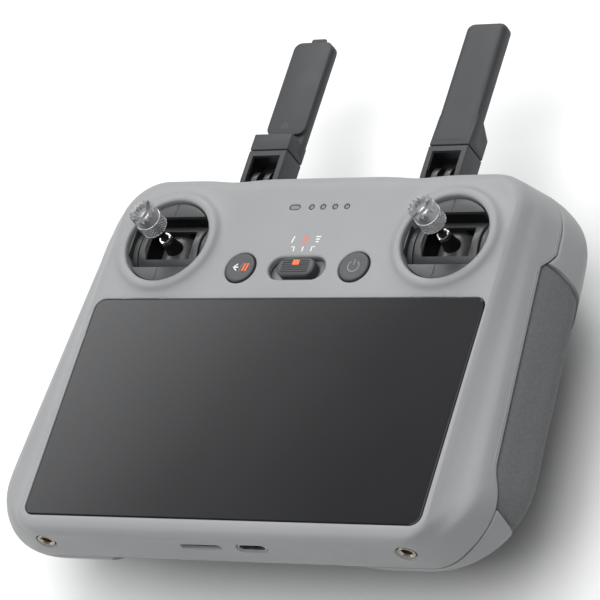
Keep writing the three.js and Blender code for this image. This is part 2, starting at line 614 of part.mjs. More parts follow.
// The forked lower half of an antenna: two legs round the fins and a window over them.
function antennaFork(side) {
  const x = side * ANTENNA.x;
  const { pinY, knuckle, depth, width, partY, windowTop, fork } = ANTENNA;
  const [x0, x1] = [x - width / 2, x + width / 2];
  const front = -depth + knuckle;
  const back = -depth - knuckle;
  const block = rod('x', [pinY, -depth], x0, x1, knuckle, undefined, 32)
    .add(box(x0, x1, pinY, partY - 0.15, back, front));
  const through = box(x - fork / 2, x + fork / 2, pinY - 8, pinY + BASE.finRadius + 0.5, back - 1, front + 1);
  const pocket = box(x - fork / 2, x + fork / 2, pinY, windowTop, back + 2, front + 1);
  const bore = rod('x', [pinY, -depth], x0 - 1, x1 + 1, ANTENNA.pinRadius + GAP, undefined, 12);
  return block.subtract(joinAll([through, pocket, bore]));
}

function bladePlate(side, y0, y1, z0, z1, width) {
  const x = side * ANTENNA.x;
  return plate(x, (y0 + y1) / 2, width, y1 - y0, 2.6, z0, z1);
}

function antennaBlade(side) {
  const x = side * ANTENNA.x;
  const { depth, halfThickness: half, partY, stepLeft, taperStart, taperEnd, bladeWidth, tip, width } = ANTENNA;
  const [front, back] = [-depth + half, -depth - half];
  const rootStart = partY + 0.15;
  const [x0, x1] = [x - width / 2, x + width / 2];
  if (side > 0) {
    const root = sideProfile([
      [rootStart, back], [taperStart, back], [taperEnd, -depth], [taperEnd + 2, -depth], [taperEnd + 2, front],
      [rootStart, front],
    ], x0, x1);
    return root.add(bladePlate(side, rootStart, tip, -depth + 0.15, front, bladeWidth)
      .subtract(box(x - 10, x + 10, rootStart - 1, rootStart + 4, back, front + 1)));
  }
  const root = box(x0, x1, rootStart, stepLeft, back, front);
  const blade = bladePlate(side, rootStart, tip - 1.1, back, -depth - 1.35, bladeWidth)
    .subtract(box(x - 10, x + 10, rootStart - 1, rootStart + 4, back - 1, front));
  return root.add(blade);
}

// The thin cover on the front of the left blade, with a pull tab at its tip.
function antennaCover() {
  const { depth, tip, bladeWidth } = ANTENNA;
  const cover = bladePlate(-1, 101.2, tip - 1.2, -depth - 1.05, -depth - 0.15, bladeWidth);
  const tab = plate(-ANTENNA.x + 1.2, tip - 1.6, 5, 3.2, 0.6, -depth - 1.05, -depth + 0.3);
  return cover.add(tab);
}

// ---- Assembly ----
const device = new THREE.Group();

function addNode(name, solid, materialName) {
  const mesh = new THREE.Mesh(toGeometry(solid), new THREE.MeshStandardMaterial(MATERIALS[materialName]));
  mesh.name = name;
  device.add(mesh);
}

const skin = bodySkin();
addNode('front_shell', frontShell(skin), 'shell');
addNode('rear_shell', rearShell(skin), 'shell');
addNode('screen_glass', screenGlass(), 'glass');
addNode('display_gasket', displayGasket(), 'dark');
addNode('display_panel', displayPanel(), 'dark');
addNode('mid_frame', midFrame(), 'frame');
addNode('main_board', mainBoard(), 'board');
addNode('button_board', buttonBoard(), 'board');
addNode('light_guide', lightGuide(), 'light');
addNode('usb_socket', usbSocket(), 'steel');
addNode('card_socket', cardSocket(), 'steel');
addNode('mode_slider', modeSlider(), 'dark');
addNode('return_button', faceButton(-1), 'dark');
addNode('power_button', faceButton(1), 'dark');
addNode('record_button', topButton(-1), 'dark');
addNode('shutter_button', topButton(1), 'dark');
addNode('antenna_cover_left', antennaCover(), 'antenna');
screwPlaces().forEach((place, i) => addNode(`case_screw_${i + 1}`, caseScrew(place), 'steel'));

for (const [side, word] of [[-1, 'left'], [1, 'right']]) {
  addNode(`grip_${word}`, grip(side), 'grip');
  addNode(`battery_${word}`, battery(side), 'battery');
  addNode(`thread_insert_${word}`, threadInsert(side), 'brass');
  addNode(`gimbal_housing_${word}`, gimbalHousing(side), 'dark');
  addNode(`stick_drum_${word}`, stickDrum(side), 'dark');
  addNode(`stick_roller_${word}`, stickRoller(side), 'dark');
  addNode(`stick_collar_${word}`, stickCollar(side), 'chrome');
  addNode(`stick_knob_${word}`, stickKnob(side), 'aluminium');
  addNode(`dial_${word}`, dial(side), 'dark');
  addNode(`dial_axle_${word}`, dialAxle(side), 'steel');
  addNode(`rear_button_${word}`, backButton(side), 'dark');
  addNode(`antenna_base_${word}`, antennaBase(side), 'antenna');
  addNode(`antenna_pin_${word}`, antennaPin(side), 'steel');
  addNode(`antenna_fork_${word}`, antennaFork(side), 'antenna');
  addNode(`antenna_blade_${word}`, antennaBlade(side), 'antenna');
}

const controller = new THREE.Group();
device.position.set(0, -(BODY_BOTTOM + ANTENNA.tip) / 2, BODY_BACK);
controller.add(device);

export default controller;
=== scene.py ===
import json
import math
from contextlib import contextmanager
from types import SimpleNamespace as Sizes

import bmesh
import bpy
import numpy as np
from mathutils import Matrix, Vector
from mathutils.geometry import delaunay_2d_cdt


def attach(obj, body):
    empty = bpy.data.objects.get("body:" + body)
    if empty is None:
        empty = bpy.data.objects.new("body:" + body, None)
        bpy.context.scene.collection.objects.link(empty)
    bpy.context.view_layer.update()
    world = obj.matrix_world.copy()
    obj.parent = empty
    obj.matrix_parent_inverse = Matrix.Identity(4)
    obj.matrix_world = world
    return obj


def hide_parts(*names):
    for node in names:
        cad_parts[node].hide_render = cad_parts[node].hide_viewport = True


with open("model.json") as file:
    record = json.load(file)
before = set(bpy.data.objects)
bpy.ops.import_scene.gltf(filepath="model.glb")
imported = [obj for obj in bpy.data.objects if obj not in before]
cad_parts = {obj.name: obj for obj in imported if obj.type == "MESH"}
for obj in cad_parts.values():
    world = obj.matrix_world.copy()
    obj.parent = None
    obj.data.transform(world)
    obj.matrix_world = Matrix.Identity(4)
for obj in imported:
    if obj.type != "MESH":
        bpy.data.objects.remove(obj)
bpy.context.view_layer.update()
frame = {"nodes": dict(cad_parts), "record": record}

# Shapes are written in the device frame: millimetres, X right, Y up the screen, Z out of it,
# zero at the middle of the glass. ROW_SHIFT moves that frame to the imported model's own.
ROW_SHIFT = np.array([0.0, -47.55, 44.4])
SIDES = ((-1, "left"), (1, "right"))

# Body form, repeated from the CAD: depth, half width low and high, bottom, top, corner radii.
LOW_Y = -14.0
HIGH_Y = 60.0
BACK_DEPTH = 44.4
SECTIONS = np.array([
    [0, 65.7, 64.6, -36.9, 73.6, 5, 10],
    [0.6, 66.7, 66, -38.8, 75.4, 7, 12],
    [1.6, 68.3, 67.2, -39.9, 76.6, 10, 13],
    [3, 71, 68.6, -40.4, 77.2, 14, 14],
    [4.6, 75.2, 70.6, -40.4, 77.2, 18, 15],
    [7, 77.9, 72.8, -40.4, 77.2, 20, 16],
    [12, 81.6, 77, -40.4, 77.2, 22, 18],
    [18, 84.63, 79.8, -39.3, 76.6, 24, 20],
    [24, 81.6, 77.2, -36.2, 75.2, 26, 20],
    [30, 77.2, 73.6, -31.8, 72.4, 26, 20],
    [36, 71.4, 68.6, -26.2, 68.2, 26, 20],
    [41, 64.6, 62.6, -19.6, 62, 22, 17],
    [43.6, 59.4, 57.8, -13.4, 56, 18, 14],
    [44.4, 56, 54.8, -9.5, 52, 14, 11],
])
SEAM = ((-60, 17), (-40.2, 17), (-39, 15), (-36, 12.8), (-31, 11.2), (-24, 9.8), (-14, 7.2), (50, 7.2),
        (54, 10), (100, 10))
SEAM_GAP = 0.3
GRIP_OUTLINE = (
    (51.4, -4), (-21.5, -4), (-24.3, -10.3), (-26.6, -16), (-27.5, -24), (-24, -34), (-16, -50),
    (42, -50), (43, -34), (45, -24), (48, -17), (50.6, -12), (51.4, -8),
)
GRIP_CENTRE = (12, -28)
GRIP_SINK = 0.5
COVER_WALL = 0.9
SLIVER = 3e-4

GLASS = Sizes(width=128, height=70.4, radius=3)
STICK = Sizes(x=46, y=54.3, pivot=-10.3, well=13.5)
KNOB = Sizes(
    radius=3.9, top=15.0, knurl=(8.7, 12.9), ridges=24, pitch=1.02, teeth=16,
    slot_angles={"left": 66, "right": 56},
    # The crown's rings: share of the radius, height, and swing of the teeth above it.
    crown=((0.987, 15.0, 0.0), (0.985, 15.15, 1.8), (0.8, 15.1, 1.7), (0.62, 14.95, 1.2),
           (0.42, 14.8, 0.4), (0.3, 14.75, 0.0)))
BUTTON = Sizes(x=18.8, y=45.6)
SLIDER = Sizes(y=45.4, slot=(18.5, 7.3), knob=(12.6, 5.9))
LIGHTS = Sizes(y=65.8, bar=(-7.1, 3.6), dots=(-1.5, 2.3, 6.3, 10.2), radius=0.9)
PORT_Z = -7
INSERT = Sizes(x=58.5, radius=2.6, bore=1.65, length=7)
ANTENNA = Sizes(x=30.3, z=-14.5, pin_y=83, half=4.5, width=13, part_y=92.7, tip=135.5)
PART_GAP = 0.15
BLADE_WIDTH = 13.3
DIAL = Sizes(x=55, y=66.2, z=-27.6, width=7, notches=24)
TOP_BUTTON = Sizes(x=52.5, z=-15, length=13, width=5.4, bottom=70.8)
REAR_BUTTON = Sizes(x=28, y=34)
SCREWS = ((-34, -20), (34, -20), (-34, 16), (34, 16))
SCREW_HOLE = ((2.3, -3), (2.0, 1.7), (1.2, 1.71), (1.2, 5))
ENDS = ((-1, "a"), (1, "b"))


# ---- Mesh helpers ----
def to_row(points):
    """Device-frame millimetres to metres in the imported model."""
    return (np.asarray(points, float).reshape(-1, 3) + ROW_SHIFT) / 1000


def linked(name, data):
    """A new object in the scene."""
    obj = bpy.data.objects.new(name, data)
    bpy.context.scene.collection.objects.link(obj)
    return obj


@contextmanager
def editing(mesh):
    """Opens a mesh for editing with bmesh and writes the result back."""
    work = bmesh.new()
    work.from_mesh(mesh)
    yield work
    work.to_mesh(mesh)
    work.free()


def new_object(points, faces):
    """A mesh object from device-frame points, with its faces turned outwards."""
    mesh = bpy.data.meshes.new("part")
    mesh.from_pydata([tuple(p) for p in to_row(points)], [], [tuple(int(i) for i in f) for f in faces])
    with editing(mesh) as work:
        bmesh.ops.remove_doubles(work, verts=work.verts, dist=2e-6)
        bmesh.ops.recalc_face_normals(work, faces=work.faces)
    return linked("part", mesh)


def apply_modifiers(obj):
    """Turns what the modifiers make into the mesh itself."""
    view = bpy.context.evaluated_depsgraph_get()
    mesh = bpy.data.meshes.new_from_object(obj.evaluated_get(view))
    obj.modifiers.clear()
    obj.data = mesh
    return obj


def boolean(obj, cutter, operation="DIFFERENCE", solver="MANIFOLD"):
    """Cuts, joins or crosses obj with cutter, and removes the cutter."""
    bpy.context.view_layer.update()
    modifier = obj.modifiers.new("cut", "BOOLEAN")
    modifier.operation = operation
    modifier.solver = solver
    modifier.object = cutter
    apply_modifiers(obj)
    bpy.data.objects.remove(cutter)
    return obj


def cut(obj, *cutters, solver="EXACT"):
    """Cuts several shapes out of obj, one after the other."""
    for cutter in cutters:
        boolean(obj, cutter, solver=solver)


def bevel(obj, width, segments=2, angle=40):
    modifier = obj.modifiers.new("bevel", "BEVEL")
    modifier.width = width / 1000
    modifier.segments = segments
    modifier.limit_method = "ANGLE"
    modifier.angle_limit = math.radians(angle)
    modifier.use_clamp_overlap = True
    return apply_modifiers(obj)


def piece(obj, name, body, slot, nodes=(), look=None, crease=35):
    """Gives a finished mesh its name, look and shading, and ties it to its body."""
    obj.name = name
    obj.data.materials.clear()
    obj.data.materials.append(LOOKS[look or slot])
    obj.data.shade_smooth()
    obj.data.set_sharp_from_angle(angle=math.radians(crease))
    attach(obj, body)
    if nodes:
        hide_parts(*nodes)


def axes_map(axis, centre, points):
    """Turns (a, b, h) points into device points, with h along the axis and (a, b) about the centre."""
    a, b, h = np.asarray(points, float).reshape(-1, 3).T
    a, b = a + centre[0], b + centre[1]
    return np.column_stack({"x": (h, a, b), "y": (a, h, b), "z": (a, b, h)}[axis])


def stack(rings, close_ends=True):
    """Points and faces of a closed skin through rings that all have the same number of points."""
    count = len(rings[0])
    faces = []
    for level in range(len(rings) - 1):
        for i in range(count):
            j = (i + 1) % count
            a, b = level * count + i, level * count + j
            faces.append((a, b, b + count, a + count))
    if close_ends:
        faces.append(tuple(range(count))[::-1])
        faces.append(tuple(range((len(rings) - 1) * count, len(rings) * count)))
    return np.vstack(rings), faces


def along_axis(axis, centre, outlines, stations):
    """A closed solid through flat outlines, each at its own station along an axis."""
    rings = [np.column_stack([outline, np.full(len(outline), station)])
             for outline, station in zip(outlines, stations)]
    points, faces = stack(rings)
    return new_object(axes_map(axis, centre, points), faces)


def turned(axis, centre, profile, segments=64, shape=None):
    """A turned solid. profile lists (radius, station); shape may change the radius by angle and station."""
    angles = np.arange(segments) * 2 * math.pi / segments
    outlines = []
    for radius, station in profile:
        radii = np.full(segments, max(radius, 1e-3))
        if shape is not None:
            radii = shape(radii, angles, station)
        outlines.append(np.column_stack([radii * np.cos(angles), radii * np.sin(angles)]))
    return along_axis(axis, centre, outlines, [station for _, station in profile])


def both_ends(middle, profile):
    """A turned profile and its mirror image. profile lists (radius, distance from the middle)."""
    return ([(radius, middle - reach) for radius, reach in profile]
            + [(radius, middle + reach) for radius, reach in reversed(profile)])


def rounded_outline(width, height, radius, inset=0.0, steps=6):
    """Corner arcs of a rounded rectangle about zero, counter-clockwise."""
    half_w, half_h = width / 2 - inset, height / 2 - inset
    radius = max(radius - inset, 0.02)
    points = []
    for quarter, (sx, sy) in enumerate(((1, -1), (1, 1), (-1, 1), (-1, -1))):
        for k in range(steps + 1):
            angle = math.pi / 2 * (quarter - 1 + k / steps)
            points.append((sx * (half_w - radius) + radius * math.cos(angle),
                           sy * (half_h - radius) + radius * math.sin(angle)))
    return np.array(points)


def slab(axis, centre, size, radius, levels, steps=6):
    """A rounded plate along an axis. levels lists (inset, station), so its edges can be rolled."""
    outlines = [rounded_outline(*size, radius, inset, steps) for inset, _ in levels]
    return along_axis(axis, centre, outlines, [station for _, station in levels])


def box(low, high):
    """A plain block between two opposite corners."""
    (x0, y0, z0), (x1, y1, z1) = low, high
    size = (x1 - x0, y1 - y0)
    centre = ((x0 + x1) / 2, (y0 + y1) / 2)
    return slab("z", centre, size, 0.02, [(0, z0), (0, z1)], steps=1)


def prism(outline, x0, x1):
    """An outline of (y, z) points, extruded along X."""
    outline = np.asarray(outline, float)
    rings = [np.column_stack([np.full(len(outline), x), outline]) for x in (x0, x1)]
    return new_object(*stack(rings))


def rounded_corners(points, passes=3, closed=True):
    """Corner cutting: each pass replaces every corner by two points."""
    points = np.asarray(points, float)
    for _ in range(passes):
        after = np.roll(points, -1, axis=0) if closed else points[1:]
        here = points if closed else points[:-1]
        pairs = np.stack([0.8 * here + 0.2 * after, 0.2 * here + 0.8 * after], axis=1).reshape(-1, 2)
        points = pairs if closed else np.vstack([points[:1], pairs, points[-1:]])
    return points


# ---- The body's skin ----
def monotone(stations, values, at):
    """Smooth interpolation with no overshoot between the given stations."""
    stations, values = np.asarray(stations, float), np.asarray(values, float)
    step = np.diff(stations)
    slope = np.diff(values) / step
    tangent = np.concatenate([[slope[0]], np.zeros(len(slope) - 1), [slope[-1]]])
    for i in range(1, len(slope)):
        if slope[i - 1] * slope[i] > 0:
            w0, w1 = 2 * step[i] + step[i - 1], step[i] + 2 * step[i - 1]
            tangent[i] = (w0 + w1) / (w0 / slope[i - 1] + w1 / slope[i])
    at = np.clip(np.asarray(at, float), stations[0], stations[-1])
    i = np.clip(np.searchsorted(stations, at, side="right") - 1, 0, len(step) - 1)
    t = (at - stations[i]) / step[i]
    return ((1 + 2 * t) * (1 - t) ** 2 * values[i] + t * (1 - t) ** 2 * step[i] * tangent[i]
            + t * t * (3 - 2 * t) * values[i + 1] + t * t * (t - 1) * step[i] * tangent[i + 1])


def column_list(density=1.0):
    """Places round the right half of the body: which stretch, and the share along it."""
    columns = []
    for kind, count in enumerate((14, 16, 26, 14, 20)):
        count = max(2, round(count * density))
        columns += [(kind, k / count) for k in range(count)]
    columns.append((4, 1.0))
    return np.array(columns)


def half_ring(columns, depth, inset=0.0):
    """(x, y) of the body's right half at each column, each at its own depth."""
    kind, share = columns[:, 0], columns[:, 1]
    depth = np.broadcast_to(np.asarray(depth, float), kind.shape)
    low, high, bottom, top, low_r, high_r = (monotone(SECTIONS[:, 0], row, depth) for row in SECTIONS.T[1:])
    tilt = np.arctan2(low - high, HIGH_Y - LOW_Y)
    c, s = np.cos(tilt), np.sin(tilt)
    side = c * low + s * LOW_Y - inset
    low_r, high_r = np.maximum(low_r - inset, 0.5), np.maximum(high_r - inset, 0.5)
    low_y, high_y = bottom + inset + low_r, top - inset - high_r
    low_x, high_x = (side - low_r - s * low_y) / c, (side - high_r - s * high_y) / c
    angle_low = -math.pi / 2 + share * (tilt + math.pi / 2)
    angle_high = tilt + share * (math.pi / 2 - tilt)
    start = np.stack([low_x + low_r * c, low_y + low_r * s])
    end = np.stack([high_x + high_r * c, high_y + high_r * s])
    line = start + share * (end - start)
    stretches = [kind == number for number in range(4)]
    x = np.select(stretches, [share * low_x, low_x + low_r * np.cos(angle_low), line[0],
                              high_x + high_r * np.cos(angle_high)], (1 - share) * high_x)
    y = np.select(stretches, [bottom + inset, low_y + low_r * np.sin(angle_low), line[1],
                              high_y + high_r * np.sin(angle_high)], top - inset)
    return np.column_stack([x, y])


def full_ring(columns, depth, inset=0.0):
    """A closed ring of (x, y, z) points round the body; depth may differ from column to column."""
    right = half_ring(columns, depth, inset)
    right = np.column_stack([right, -np.broadcast_to(np.asarray(depth, float), len(right))])
    left = right[-2:0:-1] * np.array([-1, 1, 1])
    return np.vstack([right, left])


def back_at(y):
    """Height of the flat back behind the screen, which slopes a little up the body."""
    return -(14.2 + (y + 60) / 160 * 9.8)


def seam_at(y):
    """Depth of the seam between the shells at a height up the body."""
    stations, depths = zip(*SEAM)
    fine = np.linspace(-60, 100, 641)
    kernel = np.hanning(13)
    padded = np.pad(np.interp(fine, stations, depths), 6, mode="edge")
    blurred = np.convolve(padded, kernel / kernel.sum(), mode="valid")
    return np.interp(y, fine, blurred)


def seam_depth(columns):
    """Depth of the seam at each column of the right half."""
    depth = np.full(len(columns), 8.0)
    for _ in range(14):
        depth = 0.5 * depth + 0.5 * seam_at(half_ring(columns, depth)[:, 1])
    return depth


RIM_PROFILE = np.array([
    [13.5, 1.1], [13.62, 1.4], [13.85, 1.65], [14.3, 1.8], [15.2, 1.78], [15.8, 1.6], [16.3, 1.2],
    [16.8, 0.78], [17.5, 0.42], [18.6, 0.16], [20.2, 0.03], [21.5, 0.0],
])


def rim_height(x, y):
    """Height of the raised rims round the two stick wells."""
    height = np.zeros_like(x)
    for side, _ in SIDES:
        radius = np.hypot(x - side * STICK.x, y - STICK.y)
        height = np.maximum(height, np.where(radius < 21.5, monotone(*RIM_PROFILE.T, radius), 0))
    return height


def rectangle_distance(x, y, cx, cy, width, height, radius):
    """Distance outside a rounded rectangle, negative inside."""
    dx = np.abs(x - cx) - width / 2 + radius
    dy = np.abs(y - cy) - height / 2 + radius
    return np.hypot(np.maximum(dx, 0), np.maximum(dy, 0)) + np.minimum(np.maximum(dx, dy), 0) - radius


# Openings in the front face: centre, size, corner radius, edge rounding, depth of the wall below the edge.
OPENINGS = [
    (0, 0, GLASS.width + 0.6, GLASS.height + 0.6, GLASS.radius + 0.3, 0.3, 1.7),
    (0, SLIDER.y, *SLIDER.slot, SLIDER.slot[1] / 2, 0.7, 1.9),
    (LIGHTS.bar[0], LIGHTS.y, LIGHTS.bar[1], 2 * LIGHTS.radius, LIGHTS.radius, 0.2, 1.2),
]
OPENINGS += [(x, LIGHTS.y, 2 * LIGHTS.radius, 2 * LIGHTS.radius, LIGHTS.radius, 0.2, 1.2)
             for x in LIGHTS.dots]
OPENINGS += [(side * BUTTON.x, BUTTON.y, 10.1, 10.1, 5.05, 0.45, 3) for side, _ in SIDES]
OPENINGS += [(side * STICK.x, STICK.y, 27, 27, STICK.well, 0, 3.4) for side, _ in SIDES]


def face_height(x, y):
    """Height of the front face: the stick rims, less the rounding at each opening's edge."""
    height = rim_height(x, y)
    for cx, cy, width, tall, radius, edge, _ in OPENINGS:
        if edge:
            gap = np.clip(rectangle_distance(x, y, cx, cy, width, tall, radius), 0, edge)
            height = height - (edge - np.sqrt(np.maximum(edge ** 2 - (edge - gap) ** 2, 0)))
    return height


def opening_loop(opening, offset=0.0):
    """The outline of an opening, or one at an offset round it, with no long edges."""
    cx, cy, width, tall, radius, _, _ = opening
    count = 6 if max(width, tall) < 5 else (24 if width == 27 else 12)
    loop = rounded_outline(width, tall, radius, -offset, count)
    keep = np.hypot(*(loop - np.roll(loop, 1, axis=0)).T) > 1e-3
    loop = loop[keep]
    dense = []
    for here, after in zip(loop, np.roll(loop, -1, axis=0)):
        steps = max(1, int(np.hypot(*(after - here)) / 1.6))
        dense += [here + (after - here) * k / steps for k in range(steps)]
    return np.array(dense) + (cx, cy)


def face_points(border):
    """Points for the flat part of the front, and the edges round it and round its openings."""
    points, edges = [], []

    def add_loop(loop):
        first = len(points)
        points.extend(map(tuple, loop))
        edges.extend((first + k, first + (k + 1) % len(loop)) for k in range(len(loop)))

    add_loop(border)
    clearance = []
    for opening in OPENINGS:
        add_loop(opening_loop(opening))
        edge = opening[5]
        offsets = [edge * share for share in (0.08, 0.3, 0.6, 1.0)] if edge else []
        offsets += [0.9] if edge else list(RIM_PROFILE[1:, 0] - STICK.well)
        if opening[2] > 100:
            offsets = offsets[:4]
        for offset in offsets:
            loop = opening_loop(opening, offset)
            others = [o for o in OPENINGS if o is not opening]
            free = np.all([rectangle_distance(*loop.T, *o[:5]) > 0.5 for o in others], axis=0)
            inside = border_distance(loop, border) > 0.35
            points.extend(map(tuple, loop[free & inside]))
        clearance.append(offsets[-1] + 0.5)
    columns, rows = np.meshgrid(np.arange(-66, 66.1, 1.5), np.arange(-38, 74.1, 1.5))
    grid = np.stack([columns, rows], axis=-1).reshape(-1, 2)
    keep = border_distance(grid, border) > 0.8
    for opening, room in zip(OPENINGS, clearance):
        keep &= rectangle_distance(*grid.T, *opening[:5]) > room
    points.extend(map(tuple, grid[keep]))
    return points, edges


def front_face(border):
    """The flat part of the front, triangulated with its openings left out."""
    points, edges = face_points(border)
    flat, _, triangles, *_ = delaunay_2d_cdt([Vector(p) for p in points], edges, [], 0, 1e-5)
    flat = np.array([tuple(p) for p in flat])
    triangles = np.array([tuple(t) for t in triangles])
    corners = flat[triangles]
    middle = corners.mean(axis=1)
    (ux, uy), (vx, vy) = (corners[:, 1] - corners[:, 0]).T, (corners[:, 2] - corners[:, 0]).T
    keep = np.abs(ux * vy - uy * vx) > SLIVER
    for opening in OPENINGS:
        keep &= border_distance(middle, opening_loop(opening)) < 0
    return np.column_stack([flat, face_height(*flat.T)]), [tuple(t) for t in triangles[keep]]


def opening_walls():
    """The walls below the edges of the openings."""
    for opening in OPENINGS:
        loop = opening_loop(opening)
        top = np.column_stack([loop, face_height(*loop.T)])
        foot = top * (1, 1, 0) - (0, 0, opening[6])
        yield stack([top, foot], close_ends=False)


def border_distance(points, border):
    """How far inside a convex border each point lies."""
    after = np.roll(border, -1, axis=0)
    along = after - border
    length = np.hypot(*along.T)
    inward = np.column_stack([-along[:, 1], along[:, 0]]) / length[:, None]
    return ((points[:, None, :] - border[None]) * inward[None]).sum(axis=2).min(axis=1)


def scallop(points):
    """A shallow dip in the top edge in front of and round each antenna."""
    points = points.copy()
    x, y, z = points.T
    for side, _ in SIDES:
        dip = 1.5 * np.exp(-((x - side * ANTENNA.x) / 6.5) ** 2)
        share = np.clip((y - 70) / 6, 0, 1) * np.clip(-z / 2.5, 0, 1)
        points[:, 1] -= dip * share
    return points


def merge_parts(parts):
    """Joins several (points, faces) pairs into one."""
    points, faces, first = [], [], 0
    for part_points, part_faces in parts:
        points.append(part_points)
        faces += [tuple(i + first for i in face) for face in part_faces]
        first += len(part_points)
    return np.vstack(points), faces


def front_cover():
    """The front shell: side wall, face and opening walls as one thickened skin."""
    columns = column_list()
    seam = seam_depth(columns)
    shares = np.concatenate([[0, 0.012, 0.03], np.linspace(0.06, 1, 26)])
    rings = []
    for share in shares:
        ring = full_ring(columns, share * (seam - 0.4))
        ring[:, 2] += rim_height(ring[:, 0], ring[:, 1])
        rings.append(ring)
    for drop, inset in ((0.22, 0.05), (0.08, 0.16), (0.0, 0.36), (0.0, 1.4)):
        rings.append(full_ring(columns, seam - drop, inset))
    parts = [stack([scallop(ring) for ring in rings], close_ends=False), front_face(rings[0][:, :2])]
    cover = new_object(*merge_parts(parts + list(opening_walls())))
    upward = sum(p.normal.z for p in cover.data.polygons if p.center.z > 0.0443)
    if upward < 0:
        cover.data.flip_normals()
    thick = cover.modifiers.new("thick", "SOLIDIFY")
    thick.thickness = COVER_WALL / 1000
    thick.offset = -1
    apply_modifiers(cover)
    return cover


def loft_solid(inset, depths, density=1.0):
    """A closed solid through body rings at the given depths."""
    columns = column_list(density)
    return new_object(*stack([full_ring(columns, depth, inset) for depth in depths]))


def hollow_cutter(growth, flare=0.0):
    """The space behind the screen, between the hand grips."""
    rings = []
    for y in (-60, 100):
        top = back_at(y) + growth
        right = [(47 + growth + 5 * flare, -60), (47 + growth + 4 * flare, -45.2),
                 (47 + growth + 1.2 * flare, -43.2), (46.6 + growth, -39), (45.5 + growth, top - 8),
                 (42.6 + growth, top - 1.5), (36 + growth, top)]
        right = rounded_corners(right, 3, closed=False)
        left = right[::-1] * (-1, 1)
        outline = np.vstack([right, left])
        rings.append(np.column_stack([outline[:, 0], np.full(len(outline), y), outline[:, 1]]))
    return new_object(*stack(rings))


def grip_outline(growth):
    """The grip's outline seen from the side, in (y, z)."""
    outline = rounded_corners(GRIP_OUTLINE, 3)
    offset = outline - GRIP_CENTRE
    length = np.hypot(*offset.T)[:, None]
    return np.asarray(GRIP_CENTRE) + offset * (length + growth) / length


def grip_prism(side, growth):
    inner = 48.5 - growth
    return prism(grip_outline(growth), *sorted((side * inner, side * 95)))


def outline_distance(points, outline):
    """Distance of (y, z) points from a closed outline."""
    here, after = outline, np.roll(outline, -1, axis=0)
    along = after - here
    share = ((points[:, None] - here) * along).sum(axis=2) / (along ** 2).sum(axis=1)
    nearest = here + np.clip(share, 0, 1)[..., None] * along
    return np.hypot(*np.moveaxis(points[:, None] - nearest, 2, 0)).min(axis=1)


def rear_cover():
    """The back shell: hollow, with a pocket for each grip and a hole for every control."""
    columns = column_list()
    seam = seam_depth(columns) + SEAM_GAP
    rings = [full_ring(columns, seam + drop, inset)
             for drop, inset in ((0, 0.36), (0.08, 0.16), (0.22, 0.05))]
    rings += [full_ring(columns, seam + 0.4 + share * (BACK_DEPTH - seam - 0.4))
              for share in np.linspace(0, 1, 34)]
    cover = new_object(*closed_cup(rings))
    boolean(cover, hollow_cutter(0, 1))
    core = loft_solid(2.4, np.linspace(3, BACK_DEPTH - 2.4, 16), 0.5)
    boolean(core, hollow_cutter(2.4))
    boolean(cover, core)
    for side, _ in SIDES:
        pocket = grip_prism(side, 0.35)
        boolean(pocket, loft_solid(2.1, np.linspace(0, BACK_DEPTH - 1.6, 16), 0.5))
        cut(cover, pocket, *control_holes(side), solver="MANIFOLD")
    for x, y in SCREWS:
        profile = [(radius, back_at(y) + reach) for radius, reach in SCREW_HOLE]
        boolean(cover, turned("z", (x, y), profile, 24))
    return cover


def control_holes(side):
    """Cutters for one side's dial, buttons and antenna."""
    x, half = side * DIAL.x, DIAL.width / 2 + 0.5
    size = (TOP_BUTTON.length + 0.6, TOP_BUTTON.width + 0.6)
    return (
        box((x - half, DIAL.y - 10, DIAL.z - 9), (x + half, 90, DIAL.z + 9)),
        slab("y", (side * TOP_BUTTON.x, TOP_BUTTON.z), size, 1.5, [(0, 66), (0, 90)]),
        turned("z", (side * REAR_BUTTON.x, REAR_BUTTON.y), [(4.3, -34), (4.3, -12)], 48),
        antenna_hole(side))


def closed_cup(rings):
    """Closes a row of rings with a fan to a point behind the first ring and a flat end at the last."""
    points, faces = stack(rings, close_ends=False)
    count = len(rings[0])
    hub = len(points)
    points = np.vstack([points, [[0, 15, -24]]])
    faces += [(hub, (i + 1) % count, i) for i in range(count)]
    faces.append(tuple(range(hub - count, hub)))
    return points, faces


def antenna_hole(side):
    """A cutter for the stepped hole that an antenna swivels in."""
    centre = (side * ANTENNA.x, ANTENNA.z)
    return turned("y", centre, [(6.3, 69), (6.3, 74.3), (5.35, 74.31), (5.35, 90)], 48)


def grip(side):
    """A hand grip: a sunk skin with its edges rolled over."""
    columns = column_list(1.4)
    seam = seam_depth(columns) + SEAM_GAP
    rings = [full_ring(columns, seam + share * (BACK_DEPTH - seam), GRIP_SINK)
             for share in np.concatenate([[0, 0.006, 0.014, 0.025, 0.04], np.linspace(0.06, 1, 36)])]
    patch = new_object(*closed_cup(rings))
    boolean(patch, loft_solid(GRIP_SINK + 1.3, np.linspace(3, BACK_DEPTH - 1.3, 24), 0.7))
    boolean(patch, hollow_cutter(0, 1))
    boolean(patch, grip_prism(side, 0), "INTERSECT")
    count = len(patch.data.vertices)
    rows = np.empty(count * 3)
    patch.data.vertices.foreach_get("co", rows)
    points = rows.reshape(-1, 3) * 1000 - ROW_SHIFT
    distance = outline_distance(points[:, 1:], grip_outline(0))
    distance = np.minimum(distance, -points[:, 2] - seam_at(points[:, 1]) - SEAM_GAP)
    roll = 1.5
    near = np.clip(distance, 0, roll)
    sink = 0.75 * (1 - np.sqrt(np.maximum(1 - (1 - near / roll) ** 2, 0)))
    outer = np.abs(points[:, 0]) > 48.6
    points[:, 0] -= side * sink * outer
    patch.data.vertices.foreach_set("co", to_row(points).ravel())
    patch.data.update()
    return patch


